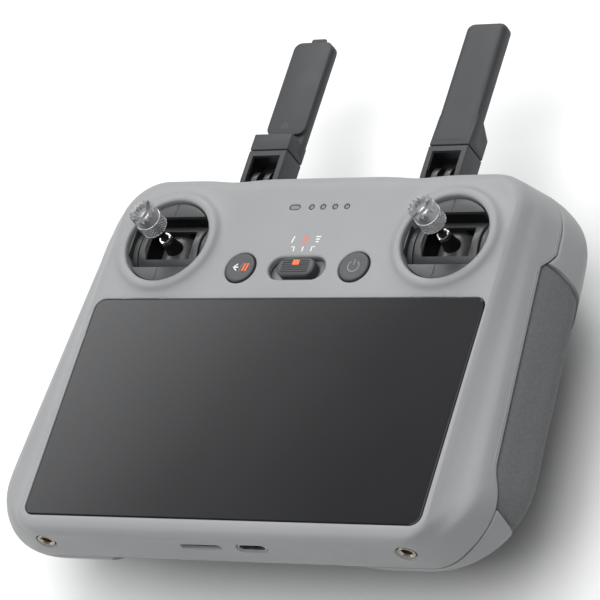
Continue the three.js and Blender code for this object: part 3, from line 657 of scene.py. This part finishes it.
def port_cuts(cover):
    """Cuts the sockets and the holes for inserts and antennas into the front cover."""
    low, high, radius = -44, -35, INSERT.radius + 0.3
    cutters = [
        slab("y", (10, PORT_Z), (9.5, 3.8), 1.85,
             [(-0.5, low), (-0.5, -40.5), (0, -39.9), (0, high)]),
        slab("y", (-6.5, PORT_Z), (12.6, 2.1), 0.5,
             [(-0.4, low), (-0.4, -40.5), (0, -40), (0, high)]),
    ]
    for side, _ in SIDES:
        profile = [(radius + 0.7, low), (radius + 0.7, -40.5), (radius, -39.7), (radius, high)]
        cutters.append(turned("y", (side * INSERT.x, PORT_Z), profile, 48))
        cutters.append(antenna_hole(side))
    cut(cover, *cutters, solver="MANIFOLD")


# ---- Controls ----
def well_parts(side, word):
    """One stick unit: bezel and housing, the drum that pitches, the roller that rolls, and the stick."""
    x = side * STICK.x
    housing(x, word)
    drum(x, word, f"drum_{word}")
    roller(x, word, f"stick_{word}")
    rod(x, word, f"stick_{word}")
    knob(x, word)


def housing(x, word):
    """The bezel with its slot, and below it the housing with the two bearing cheeks."""
    y = STICK.y
    foot, axle = (x, y), (y, STICK.pivot)
    bezel = turned("z", foot, [(13.15, -3.9), (13.15, 0.35), (12.95, 0.57), (0, 0.6)], 96)
    cut(bezel, box((x - 12.35, y - 8.5, -5), (x + 12.35, y + 8.5, 2)),
        turned("z", foot, [(12.5, -5), (12.5, -0.8)], 64))
    for way in (-1, 1):
        middle = y + way * 10.9
        cut(bezel, box((x - 0.9, middle - 3, 0.45), (x - 0.66, middle + 3, 2)))
    bevel(bezel, 0.12)
    piece(bezel, f"gimbal_bezel_{word}", "case", "dark")
    body = box((x - 14, y - 12, -17), (x + 14, y + 12, -3.95))
    cut(body, box((x - 12.8, y - 10.7, -19), (x + 12.8, y + 10.7, 1)))
    bevel(body, 0.3)
    piece(body, f"gimbal_body_{word}", "case", "dark", [f"gimbal_housing_{word}"])
    for end, tag in ENDS:
        near, far = sorted((x + end * 10.5, x + end * 12.35))
        profile = [(9.0, near), (9.55, near + 0.12), (9.55, far - 0.12), (9.0, far)]
        cheek = turned("x", axle, profile, 80)
        cut(cheek, turned("x", axle, both_ends(x, [(2.3, 20)]), 32))
        piece(cheek, f"gimbal_cheek_{word}_{tag}", "case", "dark")


def drum(x, word, body):
    """The drum that pitches: a shell with a window, its two trunnions and the lugs for the roller."""
    y, pivot = STICK.y, STICK.pivot
    axle = (y, pivot)
    shell = turned("x", axle, both_ends(x, [(9.4, 10.15), (9.85, 10.05), (10, 9.8)]), 112)
    lower = [(y - 12, pivot - 12), (y + 12, pivot - 12), (y + 12, pivot + 2), (y + 7, pivot - 2.2),
             (y - 7, pivot - 2.2), (y - 12, pivot + 2)]
    cut(shell, turned("x", axle, both_ends(x, [(8.8, 8.9)]), 72),
        prism(lower, x - 12, x + 12),
        slab("z", (x, y), (14.9, 9.4), 0.5,
             [(0, pivot + 4), (0, pivot + 9.1), (-0.5, pivot + 9.62), (-0.55, 2)]))
    bevel(shell, 0.1, 1)
    piece(shell, f"drum_shell_{word}", body, "dark", [f"stick_drum_{word}"])
    for end, tag in ENDS:
        profile = [(radius, x + end * reach)
                   for radius, reach in ((1.8, 9.2), (2, 9.4), (2, 12.6), (1.8, 12.8))]
        piece(turned("x", axle, profile, 32), f"drum_trunnion_{word}_{tag}", body, "dark")
        middle = y + end * 5.6
        lug = box((x - 3, middle - 0.7, pivot - 2.2), (x + 3, middle + 0.7, pivot + 7.2))
        bevel(lug, 0.2)
        piece(lug, f"drum_lug_{word}_{tag}", body, "dark")


def roller(x, word, body):
    """The roller that rolls inside the drum, flat below and on one side."""
    y, pivot = STICK.y, STICK.pivot
    barrel = turned("y", (x, pivot), both_ends(y, [(6.8, 4.3), (7.2, 3.9)]), 88)
    cut(barrel, box((x - 10, y - 6, pivot - 10), (x + 10, y + 6, pivot - 2)),
        box((x - 9, y - 6, pivot - 6), (x - 4.4, y + 6, pivot + 9)))
    bevel(barrel, 0.15)
    piece(barrel, f"roller_{word}", body, "dark", [f"stick_roller_{word}"], "gloss")


def rod(x, word, body):
    """The stick's dark sleeve, which tapers into a thin rod, and the chrome collar round it."""
    foot, pivot = (x, STICK.y), STICK.pivot
    sleeve = turned("z", foot, [
        (2.75, pivot + 6.2), (2.6, pivot + 7.2), (2.3, pivot + 8.2), (2.15, -0.6), (2.0, 0.5), (1.85, 1.4),
        (1.5, 1.75), (1.1, 1.8), (1.05, 2.4), (1.05, 10.2)], 48)
    piece(sleeve, f"stick_sleeve_{word}", body, "dark", look="black")
    collar = turned("z", foot, [(1.35, 1.85), (1.7, 1.85), (1.85, 2.0), (1.85, 2.5), (1.68, 2.7),
                                (1.35, 2.7), (1.35, 1.85)], 56)
    ring_faces_off(collar)
    piece(collar, f"collar_{word}", body, "chrome", [f"stick_collar_{word}"])


def knurl(radii, angles, station):
    """Crossed spiral grooves round the knob's grip."""
    low, high = KNOB.knurl
    if not low < station < high:
        return radii
    turn = angles * KNOB.ridges / (2 * math.pi)
    climb = (station - low) / KNOB.pitch
    waves = [np.abs((turn + way * climb) % 1 - 0.5) * 2 for way in (-1, 1)]
    groove = np.clip(1.6 * (1 - np.minimum(*waves)) - 0.6, 0, 1)
    fade = min(1, (station - low) / 0.25, (high - station) / 0.25)
    return radii - 0.34 * groove * fade


def knob(x, word):
    """A turned thumb knob: diamond knurl, plain ring, toothed crown and a slot across it."""
    y = STICK.y
    radius, teeth, top = KNOB.radius, KNOB.teeth, KNOB.top
    segments = teeth * 18
    profile = [(1.35, 11.0), (1.35, 8.2), (1.5, 8.1), (2.9, 8.1), (3.4, 8.25), (radius, 8.65)]
    profile += [(radius, station) for station in np.linspace(*KNOB.knurl, 40)]
    profile += [(radius - 0.2, 13.0), (radius - 0.22, 13.3), (radius - 0.05, 13.5), (radius - 0.05, top)]
    body = turned("z", (x, y), profile, segments, knurl)
    drop_caps(body, top)
    angles = np.arange(segments) * 2 * math.pi / segments
    wave = 1 - np.abs((angles * teeth / (2 * math.pi)) % 1 - 0.5) * 2
    circle = radius * np.column_stack([np.cos(angles), np.sin(angles)])
    rings = [np.column_stack([share * circle, base + swing * wave]) for share, base, swing in KNOB.crown]
    points, faces = stack(rings, close_ends=False)
    points = np.vstack([points, [[0, 0, KNOB.crown[-1][1]]]])
    last = (len(rings) - 1) * segments
    faces += [(last + i, last + (i + 1) % segments, len(points) - 1) for i in range(segments)]
    join_meshes(body, new_object(axes_map("z", (x, y), points), faces))
    slot = box((-6, -0.62, 14.0), (6, 0.62, 19))
    hub, place = (Vector(to_row([spot])[0]) for spot in ((0, 0, 0), (x, y, 0)))
    turn = Matrix.Rotation(math.radians(KNOB.slot_angles[word]), 4, "Z")
    slot.data.transform(Matrix.Translation(place) @ turn @ Matrix.Translation(-hub))
    cut(body, slot)
    piece(body, f"knob_{word}", f"stick_{word}", "aluminium", [f"stick_knob_{word}"], crease=28)


def drop_caps(obj, station):
    """Removes the flat end face at one station, so that another surface can carry on from its edge."""
    level = (station + ROW_SHIFT[2]) / 1000
    ring_faces_off(obj, lambda face: abs(face.calc_center_median().z - level) < 2e-5, False)


def ring_faces_off(obj, chosen=lambda face: True, outwards=True):
    """Removes large flat end faces, such as those that close a ring-shaped turned piece at its bore."""
    with editing(obj.data) as work:
        caps = [face for face in work.faces if len(face.verts) > 20 and chosen(face)]
        bmesh.ops.delete(work, geom=caps, context="FACES_ONLY")
        if outwards:
            bmesh.ops.recalc_face_normals(work, faces=work.faces)


def join_meshes(first, second):
    """Adds to the first mesh a second one that meets it along an edge."""
    with editing(first.data) as work:
        work.from_mesh(second.data)
        bmesh.ops.remove_doubles(work, verts=work.verts, dist=3e-6)
        bmesh.ops.recalc_face_normals(work, faces=work.faces)
    bpy.data.objects.remove(second)


def face_button(side, name, body, node):
    """A round button with a dished top."""
    centre = (side * BUTTON.x, BUTTON.y)
    cap = turned("z", centre, [
        (0, -4.6), (5.4, -4.6), (5.4, -3.6), (4.7, -3.5), (4.7, -0.15), (4.62, 0.12), (4.42, 0.3),
        (4.15, 0.38), (3.6, 0.36), (2.4, 0.3), (1.2, 0.27), (0, 0.26)], 72)
    piece(cap, name, body, "dark", [node], "key")


def ribbons(height, body, slot, strokes):
    """Flat printed strokes as thin geometry. strokes lists (name, look, width, lift, points)."""
    for name, look, width, lift, points in strokes:
        points = np.asarray(points, float)
        after = np.vstack([points[1:], 2 * points[-1] - points[-2]])
        before = np.vstack([2 * points[0] - points[1], points[:-1]])
        along = after - before
        across = np.column_stack([-along[:, 1], along[:, 0]]) / np.hypot(*along.T)[:, None] * width / 2
        top = height + lift
        rings = [np.array([(*left, height), (*right, height), (*right, top), (*left, top)])
                 for left, right in zip(points + across, points - across)]
        piece(new_object(*stack(rings)), name, body, slot, look=look)


def slanted(cx, cy, length, lean=0.22):
    return [(cx - lean * length / 2, cy - length / 2), (cx + lean * length / 2, cy + length / 2)]


def arc(cx, cy, radius, start, end, count=24):
    angles = np.radians(np.linspace(start, end, count))
    return np.column_stack([cx + radius * np.cos(angles), cy + radius * np.sin(angles)])


def button_marks():
    """A back arrow, a divider and two pause bars on the left button, a power sign on the right one."""
    x, y = -BUTTON.x, BUTTON.y
    ribbons(0.24, "return_key", "dark", (
        ("return_arrow", "ink_white", 0.42, 0.12, [(x - 0.9, y + 1.1), (x - 2.1, y), (x - 0.9, y - 1.1)]),
        ("return_stem", "ink_white", 0.42, 0.12, [(x - 2.0, y), (x - 0.5, y)]),
        ("return_divider", "ink_grey", 0.16, 0.11, slanted(x + 0.35, y, 3.2)),
        ("pause_bar_0", "ink_orange", 0.6, 0.13, slanted(x + 1.35, y, 2.5)),
        ("pause_bar_1", "ink_orange", 0.6, 0.13, slanted(x + 2.35, y, 2.5))))
    x = BUTTON.x
    ribbons(0.24, "power_key", "dark", (
        ("power_ring", "ink_grey", 0.34, 0.12, arc(x, y, 1.75, 125, 415)),
        ("power_bar", "ink_grey", 0.34, 0.12, [(x, y + 0.4), (x, y + 2.3)])))


def mode_slider():
    """The ribbed mode slider with its orange mark, and the track below it, coloured a darker copy of the
    shell as painted shade.
    """
    centre, (long, wide) = (0, SLIDER.y), SLIDER.knob
    cap = slab("z", centre, (long, wide), wide / 2, [
        (0, -2.2), (0, 0.1), (0.06, 0.4), (0.25, 0.65), (0.6, 0.85), (0.95, 0.9)], steps=12)
    for i in range(-3, 4):
        y = SLIDER.y + i * 0.62
        cut(cap, box((-4.4, y - 0.14, 0.66), (4.4, y + 0.14, 2)))
    piece(cap, "mode_knob_cap", "mode_knob", "dark", ["mode_slider"], "key")
    mark = slab("z", (0, SLIDER.y + 1.25), (2.3, 1.7), 0.25,
                [(0, 0.7), (0, 0.95), (0.08, 1.02)], steps=3)
    piece(mark, "mode_mark", "mode_knob", "dark", look="ink_orange")
    long, wide = (size + 1 for size in SLIDER.slot)
    floor = slab("z", centre, (long, wide), wide / 2, [(0, -3.4), (0, -2.6)], steps=12)
    cut(floor, slab("z", centre, (9.5, 3.2), 1.2, [(0, -6), (0, 0)]))
    # The track's colour is the shell's at three quarters brightness: painted shade in the slot.
    piece(floor, "slider_track", "case", "shell", look="shell_painted_shade")


def mode_marks():
    """One, two and three plain bars for the three modes, and a tick towards each slider position."""
    level = 54.9
    strokes = [("mode_sign_left", "ink_white", 0.4, slanted(-4.1, level, 2.1))]
    strokes += [(f"mode_sign_middle_{i}", "ink_orange", 0.4, slanted(dx, level, 2.1))
                for i, dx in enumerate((-0.45, 0.45))]
    strokes += [(f"mode_sign_right_{i}", "ink_white", 0.36,
                 [(4.1 - reach, level + dy), (4.1 + reach, level + dy)])
                for i, (dy, reach) in enumerate(((0.85, 0.8), (0, 0.65), (-0.85, 0.5)))]
    strokes += [("tick_left", "ink_white", 0.34, [(-3.9, 52.4), (-2.9, 52.4), (-2.9, 50.9)]),
                ("tick_middle", "ink_white", 0.34, [(0, 52.5), (0, 50.9)]),
                ("tick_right", "ink_white", 0.34, [(3.9, 52.4), (2.9, 52.4), (2.9, 50.9)])]
    ribbons(-0.02, "case", "shell", [(*stroke[:3], 0.05, stroke[3]) for stroke in strokes])


def screen():
    pane = slab("z", (0, 0), (GLASS.width, GLASS.height), GLASS.radius,
                [(0, -1.1), (0, -0.18), (0.05, -0.06), (0.18, 0.0)], steps=8)
    piece(pane, "screen_pane", "case", "glass", ["screen_glass"], crease=12)


def top_keys():
    """The record and shutter buttons on the top edge, and the two round buttons on the back."""
    for side, word in SIDES:
        role = "record" if side < 0 else "shutter"
        centre = (side * TOP_BUTTON.x, TOP_BUTTON.z)
        key = slab("y", centre, (TOP_BUTTON.length, TOP_BUTTON.width), 1.4,
                   [(0, TOP_BUTTON.bottom), (0, 77.2), (0.08, 77.5), (0.3, 77.72), (0.65, 77.8)])
        if role == "record":
            cut(key, slab("y", centre, (4.2, 2.6), 1.3, [(0.5, 77.4), (0, 78.2)]))
        piece(key, f"top_key_{word}", f"{role}_key", "dark", [f"{role}_button"], "key")
        back = back_at(REAR_BUTTON.y)
        rear = turned("z", (side * REAR_BUTTON.x, REAR_BUTTON.y), [
            (0, back - 0.35), (2.6, back - 0.4), (3.4, back - 0.6), (3.8, back - 0.45), (4, back - 0.1),
            (4, back + 3.2), (4.9, back + 3.5), (4.9, back + 4.2), (0, back + 4.2)], 64)
        piece(rear, f"rear_key_cap_{word}", f"rear_key_{word}", "dark", [f"rear_button_{word}"], "key")


def notched(radii, angles, station):
    depth = np.maximum(0, np.cos(angles * DIAL.notches) - 0.35) * 0.55
    return radii - np.where(radii > 7.2, depth, 0)


def dials():
    """The notched shoulder dials."""
    for side, word in SIDES:
        x, half = side * DIAL.x, DIAL.width / 2
        flank = [(1.5, half), (7.1, half), (7.6, half - 0.3), (7.95, half - 0.9), (8, half - 1.4)]
        wheel = turned("x", (DIAL.y, DIAL.z), both_ends(x, flank) + [(1.5, x - half)],
                       DIAL.notches * 8, notched)
        ring_faces_off(wheel)
        piece(wheel, f"dial_wheel_{word}", f"dial_wheel_{word}", "dark", [f"dial_{word}"], "key")


def inserts():
    """The two threaded brass inserts in the bottom edge."""
    radius, bore, low = INSERT.radius, INSERT.bore, -40.1
    high = low + INSERT.length
    for side, word in SIDES:
        sleeve = turned("y", (side * INSERT.x, PORT_Z), [
            (bore, high), (radius, high), (radius, low + 0.15), (radius - 0.15, low), (bore + 0.45, low),
            (bore, low + 0.5), (bore, high)], 64)
        ring_faces_off(sleeve)
        piece(sleeve, f"insert_{word}", "case", "brass", [f"thread_insert_{word}"])


# ---- Antennas ----
def rounded_bar(points, radius, middle_y, z, sign, start, count):
    """Adds a half circle to an outline of (y, z) points, from a slight angle at its start."""
    turn = np.linspace(start, math.pi - start, count)
    return points + [(middle_y + sign * radius * math.sin(t), z - sign * radius * math.cos(t)) for t in turn]


def antennas():
    for side, word in SIDES:
        x, z = side * ANTENNA.x, ANTENNA.z
        antenna_foot(x, z, word)
        arm = f"antenna_arm_{word}"
        fork_piece(x, z, word, arm)
        if side > 0:
            right_blade(x, z, arm)
        else:
            left_blade(x, z, arm)


def antenna_foot(x, z, word):
    """The swivel base with its two fins, bored for the hinge pin."""
    low, pin_y, fin_radius = 77.2, ANTENNA.pin_y, 4
    stem = turned("y", (x, z), [
        (5.9, 71.9), (5.9, 73.5), (5.0, 73.55), (5.0, 77.1), (4.8, 77.45), (4.5, 77.6), (0, 77.6)], 64)
    outline = [(low, z - fin_radius), (pin_y, z - fin_radius)]
    outline = rounded_bar(outline, fin_radius, pin_y, z, 1, 0.1, 24)
    outline += [(pin_y, z + fin_radius), (low, z + fin_radius)]
    for end, _ in ENDS:
        middle = x + end * 2.1
        fin = prism(outline, middle - 1.1, middle + 1.1)
        bevel(fin, 0.3, 3, 50)
        boolean(stem, fin, "UNION", "EXACT")
    cut(stem, pin_bore(x, z))
    piece(stem, f"antenna_root_{word}", f"antenna_foot_{word}", "antenna", [f"antenna_base_{word}"], "black")


def pin_bore(x, z):
    return turned("x", (ANTENNA.pin_y, z), both_ends(x, [(1.3, 9)]), 24)


def fork_piece(x, z, word, arm):
    """The block that straddles the fins, with a near-black sheet in its pocket as painted shade."""
    half, pin_y = ANTENNA.half, ANTENNA.pin_y
    width, top, reach = ANTENNA.width, ANTENNA.part_y - PART_GAP, 4.7
    outline = [(top, z - half), (top, z + half), (pin_y, z + half)]
    outline = rounded_bar(outline, half, pin_y, z, -1, 0.08, 30) + [(pin_y, z - half)]
    block = prism(outline, x - width / 2, x + width / 2)
    bevel(block, 0.35, 4, 50)
    cut(block, box((x - reach, pin_y - 9, z - 9), (x + reach, pin_y + 4.5, z + 9)),
        box((x - reach, pin_y - 1, z - half + 2), (x + reach, 90.7, z + 9)), pin_bore(x, z))
    piece(block, f"antenna_block_{word}", arm, "antenna", [f"antenna_fork_{word}"])
    # A near-black sheet inside the pocket: painted shade where the pocket lies in shadow.
    low = z - half + 2.02
    pocket_shade_sheet = box((x - 4.68, pin_y + 1.6, low), (x + 4.68, 90.68, z + half - 0.4))
    cut(pocket_shade_sheet, box((x - 4.4, pin_y, low + 0.25), (x + 4.4, 90.4, z + 9)),
        box((x - 4.4, pin_y, z - 9), (x + 4.4, pin_y + 4.6, z + 9)))
    piece(pocket_shade_sheet, f"antenna_pocket_shade_{word}", arm, "antenna", look="black")


def blade_root(x, outline):
    root = prism(outline, x - 6.5, x + 6.5)
    return bevel(root, 0.3, 3, 35)


def right_blade(x, z, arm):
    start, tip, half = ANTENNA.part_y + PART_GAP, ANTENNA.tip, ANTENNA.half
    blade = slab("z", (x, (start + tip) / 2), (BLADE_WIDTH, tip - start), 2.6, [
        (0.6, z + 0.15), (0.2, z + 0.3), (0, z + 0.7), (0, z + half - 1.7), (0.14, z + half - 1.1),
        (0.45, z + half - 0.6), (0.95, z + half - 0.22), (1.5, z + half - 0.05), (2.1, z + half)], steps=8)
    root = blade_root(x, [(start, z - half), (99.5, z - half), (102.6, z), (103.5, z + 1),
                          (103.5, z + half - 0.6), (start, z + half)])
    boolean(blade, root, "UNION", "EXACT")
    piece(blade, "antenna_arm_right_blade", arm, "antenna", ["antenna_blade_right"])


def left_blade(x, z, arm):
    """The left blade, with a thin cover plate on its front that ends in a tab."""
    start, tip, half = ANTENNA.part_y + PART_GAP, ANTENNA.tip, ANTENNA.half
    root = blade_root(x, [(start, z - half), (98.4, z - half), (98.4, z + half), (start, z + half)])
    end = tip - 1.1
    blade = slab("z", (x, (start + end) / 2), (BLADE_WIDTH, end - start), 2.6, [
        (0.9, z - half), (0.35, z - half + 0.3), (0, z - half + 0.9), (0, z - 2.0), (0.2, z - 1.5),
        (0.5, z - 1.35)], steps=8)
    boolean(root, blade, "UNION", "EXACT")
    piece(root, "antenna_arm_left_blade", arm, "antenna", ["antenna_blade_left"])
    low, high = 101.2, tip - 1.2
    cover = slab("z", (x, (low + high) / 2), (BLADE_WIDTH, high - low), 2.6, [
        (0, z - 1.05), (0, z - 0.5), (0.15, z - 0.25), (0.45, z - 0.15)], steps=8)
    tab = slab("z", (x + 1.2, tip - 1.6), (5, 3.2), 0.6,
               [(0, z - 1.0), (0, z - 0.55), (0.1, z - 0.45)], steps=4)
    boolean(cover, tab, "UNION", "EXACT")
    piece(cover, "antenna_front_plate", arm, "antenna", ["antenna_cover_left"])
    foot = 103.4
    ribbons(z - 0.16, arm, "antenna", [
        (f"plate_mark_{i}", "dark", 0.35, 0.05,
         [(x - 1.6 + i * 0.9, foot), (x - 1.6 + i * 0.9, foot + tall)])
        for i, tall in enumerate((1.6, 2.2, 1.6))])


# ---- Materials ----
def set_inputs(node, **values):
    """Sets sockets by name, with underscores for the spaces."""
    for label, value in values.items():
        node.inputs[label.replace("_", " ")].default_value = value
    return node


def map_range(tree, factor, *limits):
    """Maps a factor from the first two limits to the last two."""
    node = tree.nodes.new("ShaderNodeMapRange")
    for label, limit in zip(("From Min", "From Max", "To Min", "To Max"), limits):
        node.inputs[label].default_value = limit
    tree.links.new(factor, node.inputs["Value"])
    return node


class Look:
    """A material being made, with textures that stick to the object."""

    def __init__(self, name, base, roughness, metallic=0.0, specular=0.5):
        self.base, self.roughness = base, roughness
        self.material = bpy.data.materials.new(name)
        self.material.use_nodes = True
        self.tree = self.material.node_tree
        self.nodes, self.links = self.tree.nodes, self.tree.links
        self.place = self.nodes.new("ShaderNodeTexCoord").outputs["Object"]
        self.shader = set_inputs(self.nodes["Principled BSDF"], Base_Color=(*base, 1), Roughness=roughness,
                                 Metallic=metallic, Specular_IOR_Level=specular)

    def noise(self, scale, detail=3.0):
        node = set_inputs(self.nodes.new("ShaderNodeTexNoise"), Scale=scale, Detail=detail)
        self.links.new(self.place, node.inputs["Vector"])
        return node.outputs["Fac"]

    def tone(self, factor, low, high, start=0.3, end=0.7):
        """Base colour between two multiples of the base."""
        ramp = self.nodes.new("ShaderNodeValToRGB")
        for element, position, share in zip(ramp.color_ramp.elements, (start, end), (low, high)):
            element.position = position
            element.color = (*(min(1, channel * share) for channel in self.base), 1)
        self.links.new(factor, ramp.inputs["Fac"])
        self.links.new(ramp.outputs["Color"], self.shader.inputs["Base Color"])

    def gloss(self, factor, less, more):
        spread = map_range(self.tree, factor, 0.25, 0.75, self.roughness - less, self.roughness + more)
        self.links.new(spread.outputs["Result"], self.shader.inputs["Roughness"])

    def bump(self, height, strength, distance):
        node = set_inputs(self.nodes.new("ShaderNodeBump"), Strength=strength, Distance=distance)
        self.links.new(height, node.inputs["Height"])
        self.links.new(node.outputs["Normal"], self.shader.inputs["Normal"])


def moulded(name, base, roughness, grain=2600, relief=0.25, spread=0.04, specular=0.5):
    """Moulded plastic: faint cloudy tone, fine grain, uneven gloss."""
    look = Look(name, base, roughness, specular=specular)
    look.tone(look.noise(28, 4), 1 - spread, 1 + spread)
    look.gloss(look.noise(160), 0.05, 0.06)
    look.bump(look.noise(grain, 2), relief, 0.00006)
    return look.material


def rubber(name, base):
    """Grip rubber: a fine pebble texture, darker in its pits."""
    look = Look(name, base, 0.72, specular=0.3)
    pebble = set_inputs(look.nodes.new("ShaderNodeTexVoronoi"), Scale=1100)
    look.links.new(look.place, pebble.inputs["Vector"])
    look.tone(pebble.outputs["Distance"], 1.06, 0.9, 0.1, 0.6)
    look.gloss(look.noise(60), 0.06, 0.06)
    look.bump(pebble.outputs["Distance"], 0.35, 0.00012)
    return look.material


def metal(name, base, roughness):
    """Machined metal: tone and gloss vary together in fine marks."""
    look = Look(name, base, roughness, metallic=1.0)
    marks = look.noise(900, 2)
    look.tone(marks, 0.88, 1.06)
    look.gloss(marks, 0.06, 0.08)
    look.bump(marks, 0.15, 0.00003)
    return look.material


def pane_glass(name):
    """Dark cover glass: near-black, with a soft oily haze in the gloss."""
    look = Look(name, (0.008, 0.008, 0.009), 0.1)
    haze = look.noise(14, 2)
    look.tone(haze, 1, 1.3)
    look.gloss(haze, 0, 0.03)
    set_inputs(look.shader, IOR=1.52)
    return look.material


def make_looks():
    shell = (0.238, 0.242, 0.246)
    return {
        "shell": moulded("shell_plastic", shell, 0.5),
        # A darker copy of the shell colour for the slot floor under the slider: painted shade.
        "shell_painted_shade": moulded("painted_shade_shell_plastic", tuple(0.75 * c for c in shell), 0.55),
        "grip": rubber("grip_rubber", (0.12, 0.122, 0.125)),
        "glass": pane_glass("cover_glass"),
        "dark": moulded("dark_plastic", (0.037, 0.038, 0.04), 0.42, 3200, 0.2, 0.08),
        "gloss": moulded("roller_plastic", (0.04, 0.041, 0.042), 0.28, 1400, 0.1, 0.1),
        "black": moulded("black_plastic", (0.009, 0.009, 0.01), 0.35, 2400, 0.15, 0.1),
        "key": moulded("key_plastic", (0.045, 0.046, 0.048), 0.5, 3000, 0.3, 0.06),
        "antenna": moulded("antenna_plastic", (0.036, 0.038, 0.041), 0.5, 2400, 0.3, 0.06, 0.3),
        "aluminium": metal("knob_aluminium", (0.5, 0.5, 0.51), 0.38),
        "chrome": metal("collar_chrome", (0.9, 0.9, 0.9), 0.1),
        "steel": metal("steel", (0.42, 0.42, 0.43), 0.32),
        "brass": metal("insert_brass", (0.36, 0.32, 0.25), 0.35),
        "board": moulded("board_green", (0.03, 0.10, 0.06), 0.5, 700, 0.2, 0.2),
        "battery": moulded("cell_sleeve", (0.05, 0.12, 0.28), 0.35, 300, 0.1, 0.1),
        "frame": metal("cast_frame", (0.3, 0.31, 0.32), 0.5),
        "light": moulded("diffuser", (0.15, 0.15, 0.15), 0.35, 900, 0.2, 0.05),
        "ink_white": moulded("ink_white", (0.7, 0.7, 0.7), 0.55, 2000, 0.1, 0.02),
        "ink_orange": moulded("ink_orange", (0.74, 0.125, 0.025), 0.5, 2000, 0.1, 0.03),
        "ink_grey": moulded("ink_grey", (0.2, 0.2, 0.2), 0.5, 2000, 0.1, 0.04),
    }


def dress_frame():
    """Puts the finished materials on the CAD nodes."""
    for row in frame["record"]["subparts"]:
        node = frame["nodes"][row["node"]]
        material = LOOKS.get(row["material_slot"], LOOKS["dark"])
        if not node.data.materials:
            node.data.materials.append(material)
        for place in node.material_slots:
            place.material = material


# ---- Stage ----
PANEL_SIDE = (-0.597, 0.406, -0.691)
PANEL_RADIANCE = 4.0
ROOM_RADIANCE = 0.15
FLOOR_REACH = 1.5
FLOOR_DROP = 0.00002


def studio():
    """A plain pale floor, two soft lamps and the room around them."""
    floor = bpy.data.meshes.new("floor")
    corners = [(x * FLOOR_REACH, y * FLOOR_REACH, 0) for x, y in ((-1, -1), (1, -1), (1, 1), (-1, 1))]
    floor.from_pydata(corners, [], [(0, 1, 2, 3)])
    ground = linked("floor", floor)
    ground.location.z = -FLOOR_DROP
    paper = Look("paper", (0.8, 0.8, 0.8), 0.9, specular=0.1)
    paper.tone(paper.noise(3, 2), 0.994, 1.006)
    floor.materials.append(paper.material)
    sky()
    area_light("key", (-0.55, 1.6, 1.6), (0, 0, 0.03), 1.1, 20)
    area_light("top", (0.1, -0.25, 2.3), (0, 0, 0.03), 2.6, 60)


def sky():
    """A dim room with one large soft panel on the left, whose blurred edge the glass mirrors."""
    world = bpy.data.worlds.new("studio")
    bpy.context.scene.world = world
    world.use_nodes = True
    tree = world.node_tree
    nodes, links = tree.nodes, tree.links
    side = nodes.new("ShaderNodeVectorMath")
    side.operation = "DOT_PRODUCT"
    side.inputs[1].default_value = PANEL_SIDE
    links.new(nodes.new("ShaderNodeTexCoord").outputs["Generated"], side.inputs[0])
    strength = nodes.new("ShaderNodeMath")
    strength.operation = "MULTIPLY"
    borders = ((-0.03, 0.07, ROOM_RADIANCE, PANEL_RADIANCE), (0.15, 0.35, 1, ROOM_RADIANCE / PANEL_RADIANCE))
    for i, limits in enumerate(borders):
        border = map_range(tree, side.outputs["Value"], *limits)
        border.interpolation_type = "SMOOTHSTEP"
        links.new(border.outputs["Result"], strength.inputs[i])
    background = set_inputs(nodes["Background"], Color=(0.98, 0.99, 1.0, 1))
    links.new(strength.outputs["Value"], background.inputs["Strength"])
    seen = set_inputs(nodes.new("ShaderNodeBackground"), Color=(1, 1, 1, 1))
    choose = nodes.new("ShaderNodeMixShader")
    links.new(nodes.new("ShaderNodeLightPath").outputs["Is Camera Ray"], choose.inputs["Fac"])
    links.new(background.outputs["Background"], choose.inputs[1])
    links.new(seen.outputs["Background"], choose.inputs[2])
    links.new(choose.outputs["Shader"], nodes["World Output"].inputs["Surface"])


def area_light(name, place, target, size, power):
    light = bpy.data.lights.new(name, "AREA")
    light.energy = power
    light.size = size
    obj = linked(name, light)
    obj.location = place
    direction = Vector(target) - Vector(place)
    obj.rotation_euler = direction.to_track_quat("-Z", "Y").to_euler()


def camera():
    """A long lens in front of the lower right corner, turned as the picture is."""
    data = bpy.data.cameras.new("view")
    data.lens = 240
    data.sensor_width = 36
    obj = linked("view", data)
    obj.matrix_world = Matrix((
        (0.849, 0.004, 0.528, 0.5945), (0.276, 0.850, -0.449, -0.51415), (-0.451, 0.527, 0.720, 0.8485),
        (0, 0, 0, 1)))
    bpy.context.scene.camera = obj
    bpy.context.scene.view_settings.view_transform = "Standard"


# ---- Build ----
camera()
studio()
LOOKS = make_looks()
dress_frame()
front = front_cover()
port_cuts(front)
piece(front, "front_cover", "case", "shell", ["front_shell"], crease=40)
piece(rear_cover(), "rear_cover", "case", "shell", ["rear_shell"], crease=40)
for SIDE, WORD in SIDES:
    piece(grip(SIDE), f"grip_pad_{WORD}", "case", "grip", [f"grip_{WORD}"], crease=45)
    well_parts(SIDE, WORD)
screen()
face_button(-1, "return_cap", "return_key", "return_button")
face_button(1, "power_cap", "power_key", "power_button")
button_marks()
mode_slider()
mode_marks()
top_keys()
dials()
inserts()
antennas()
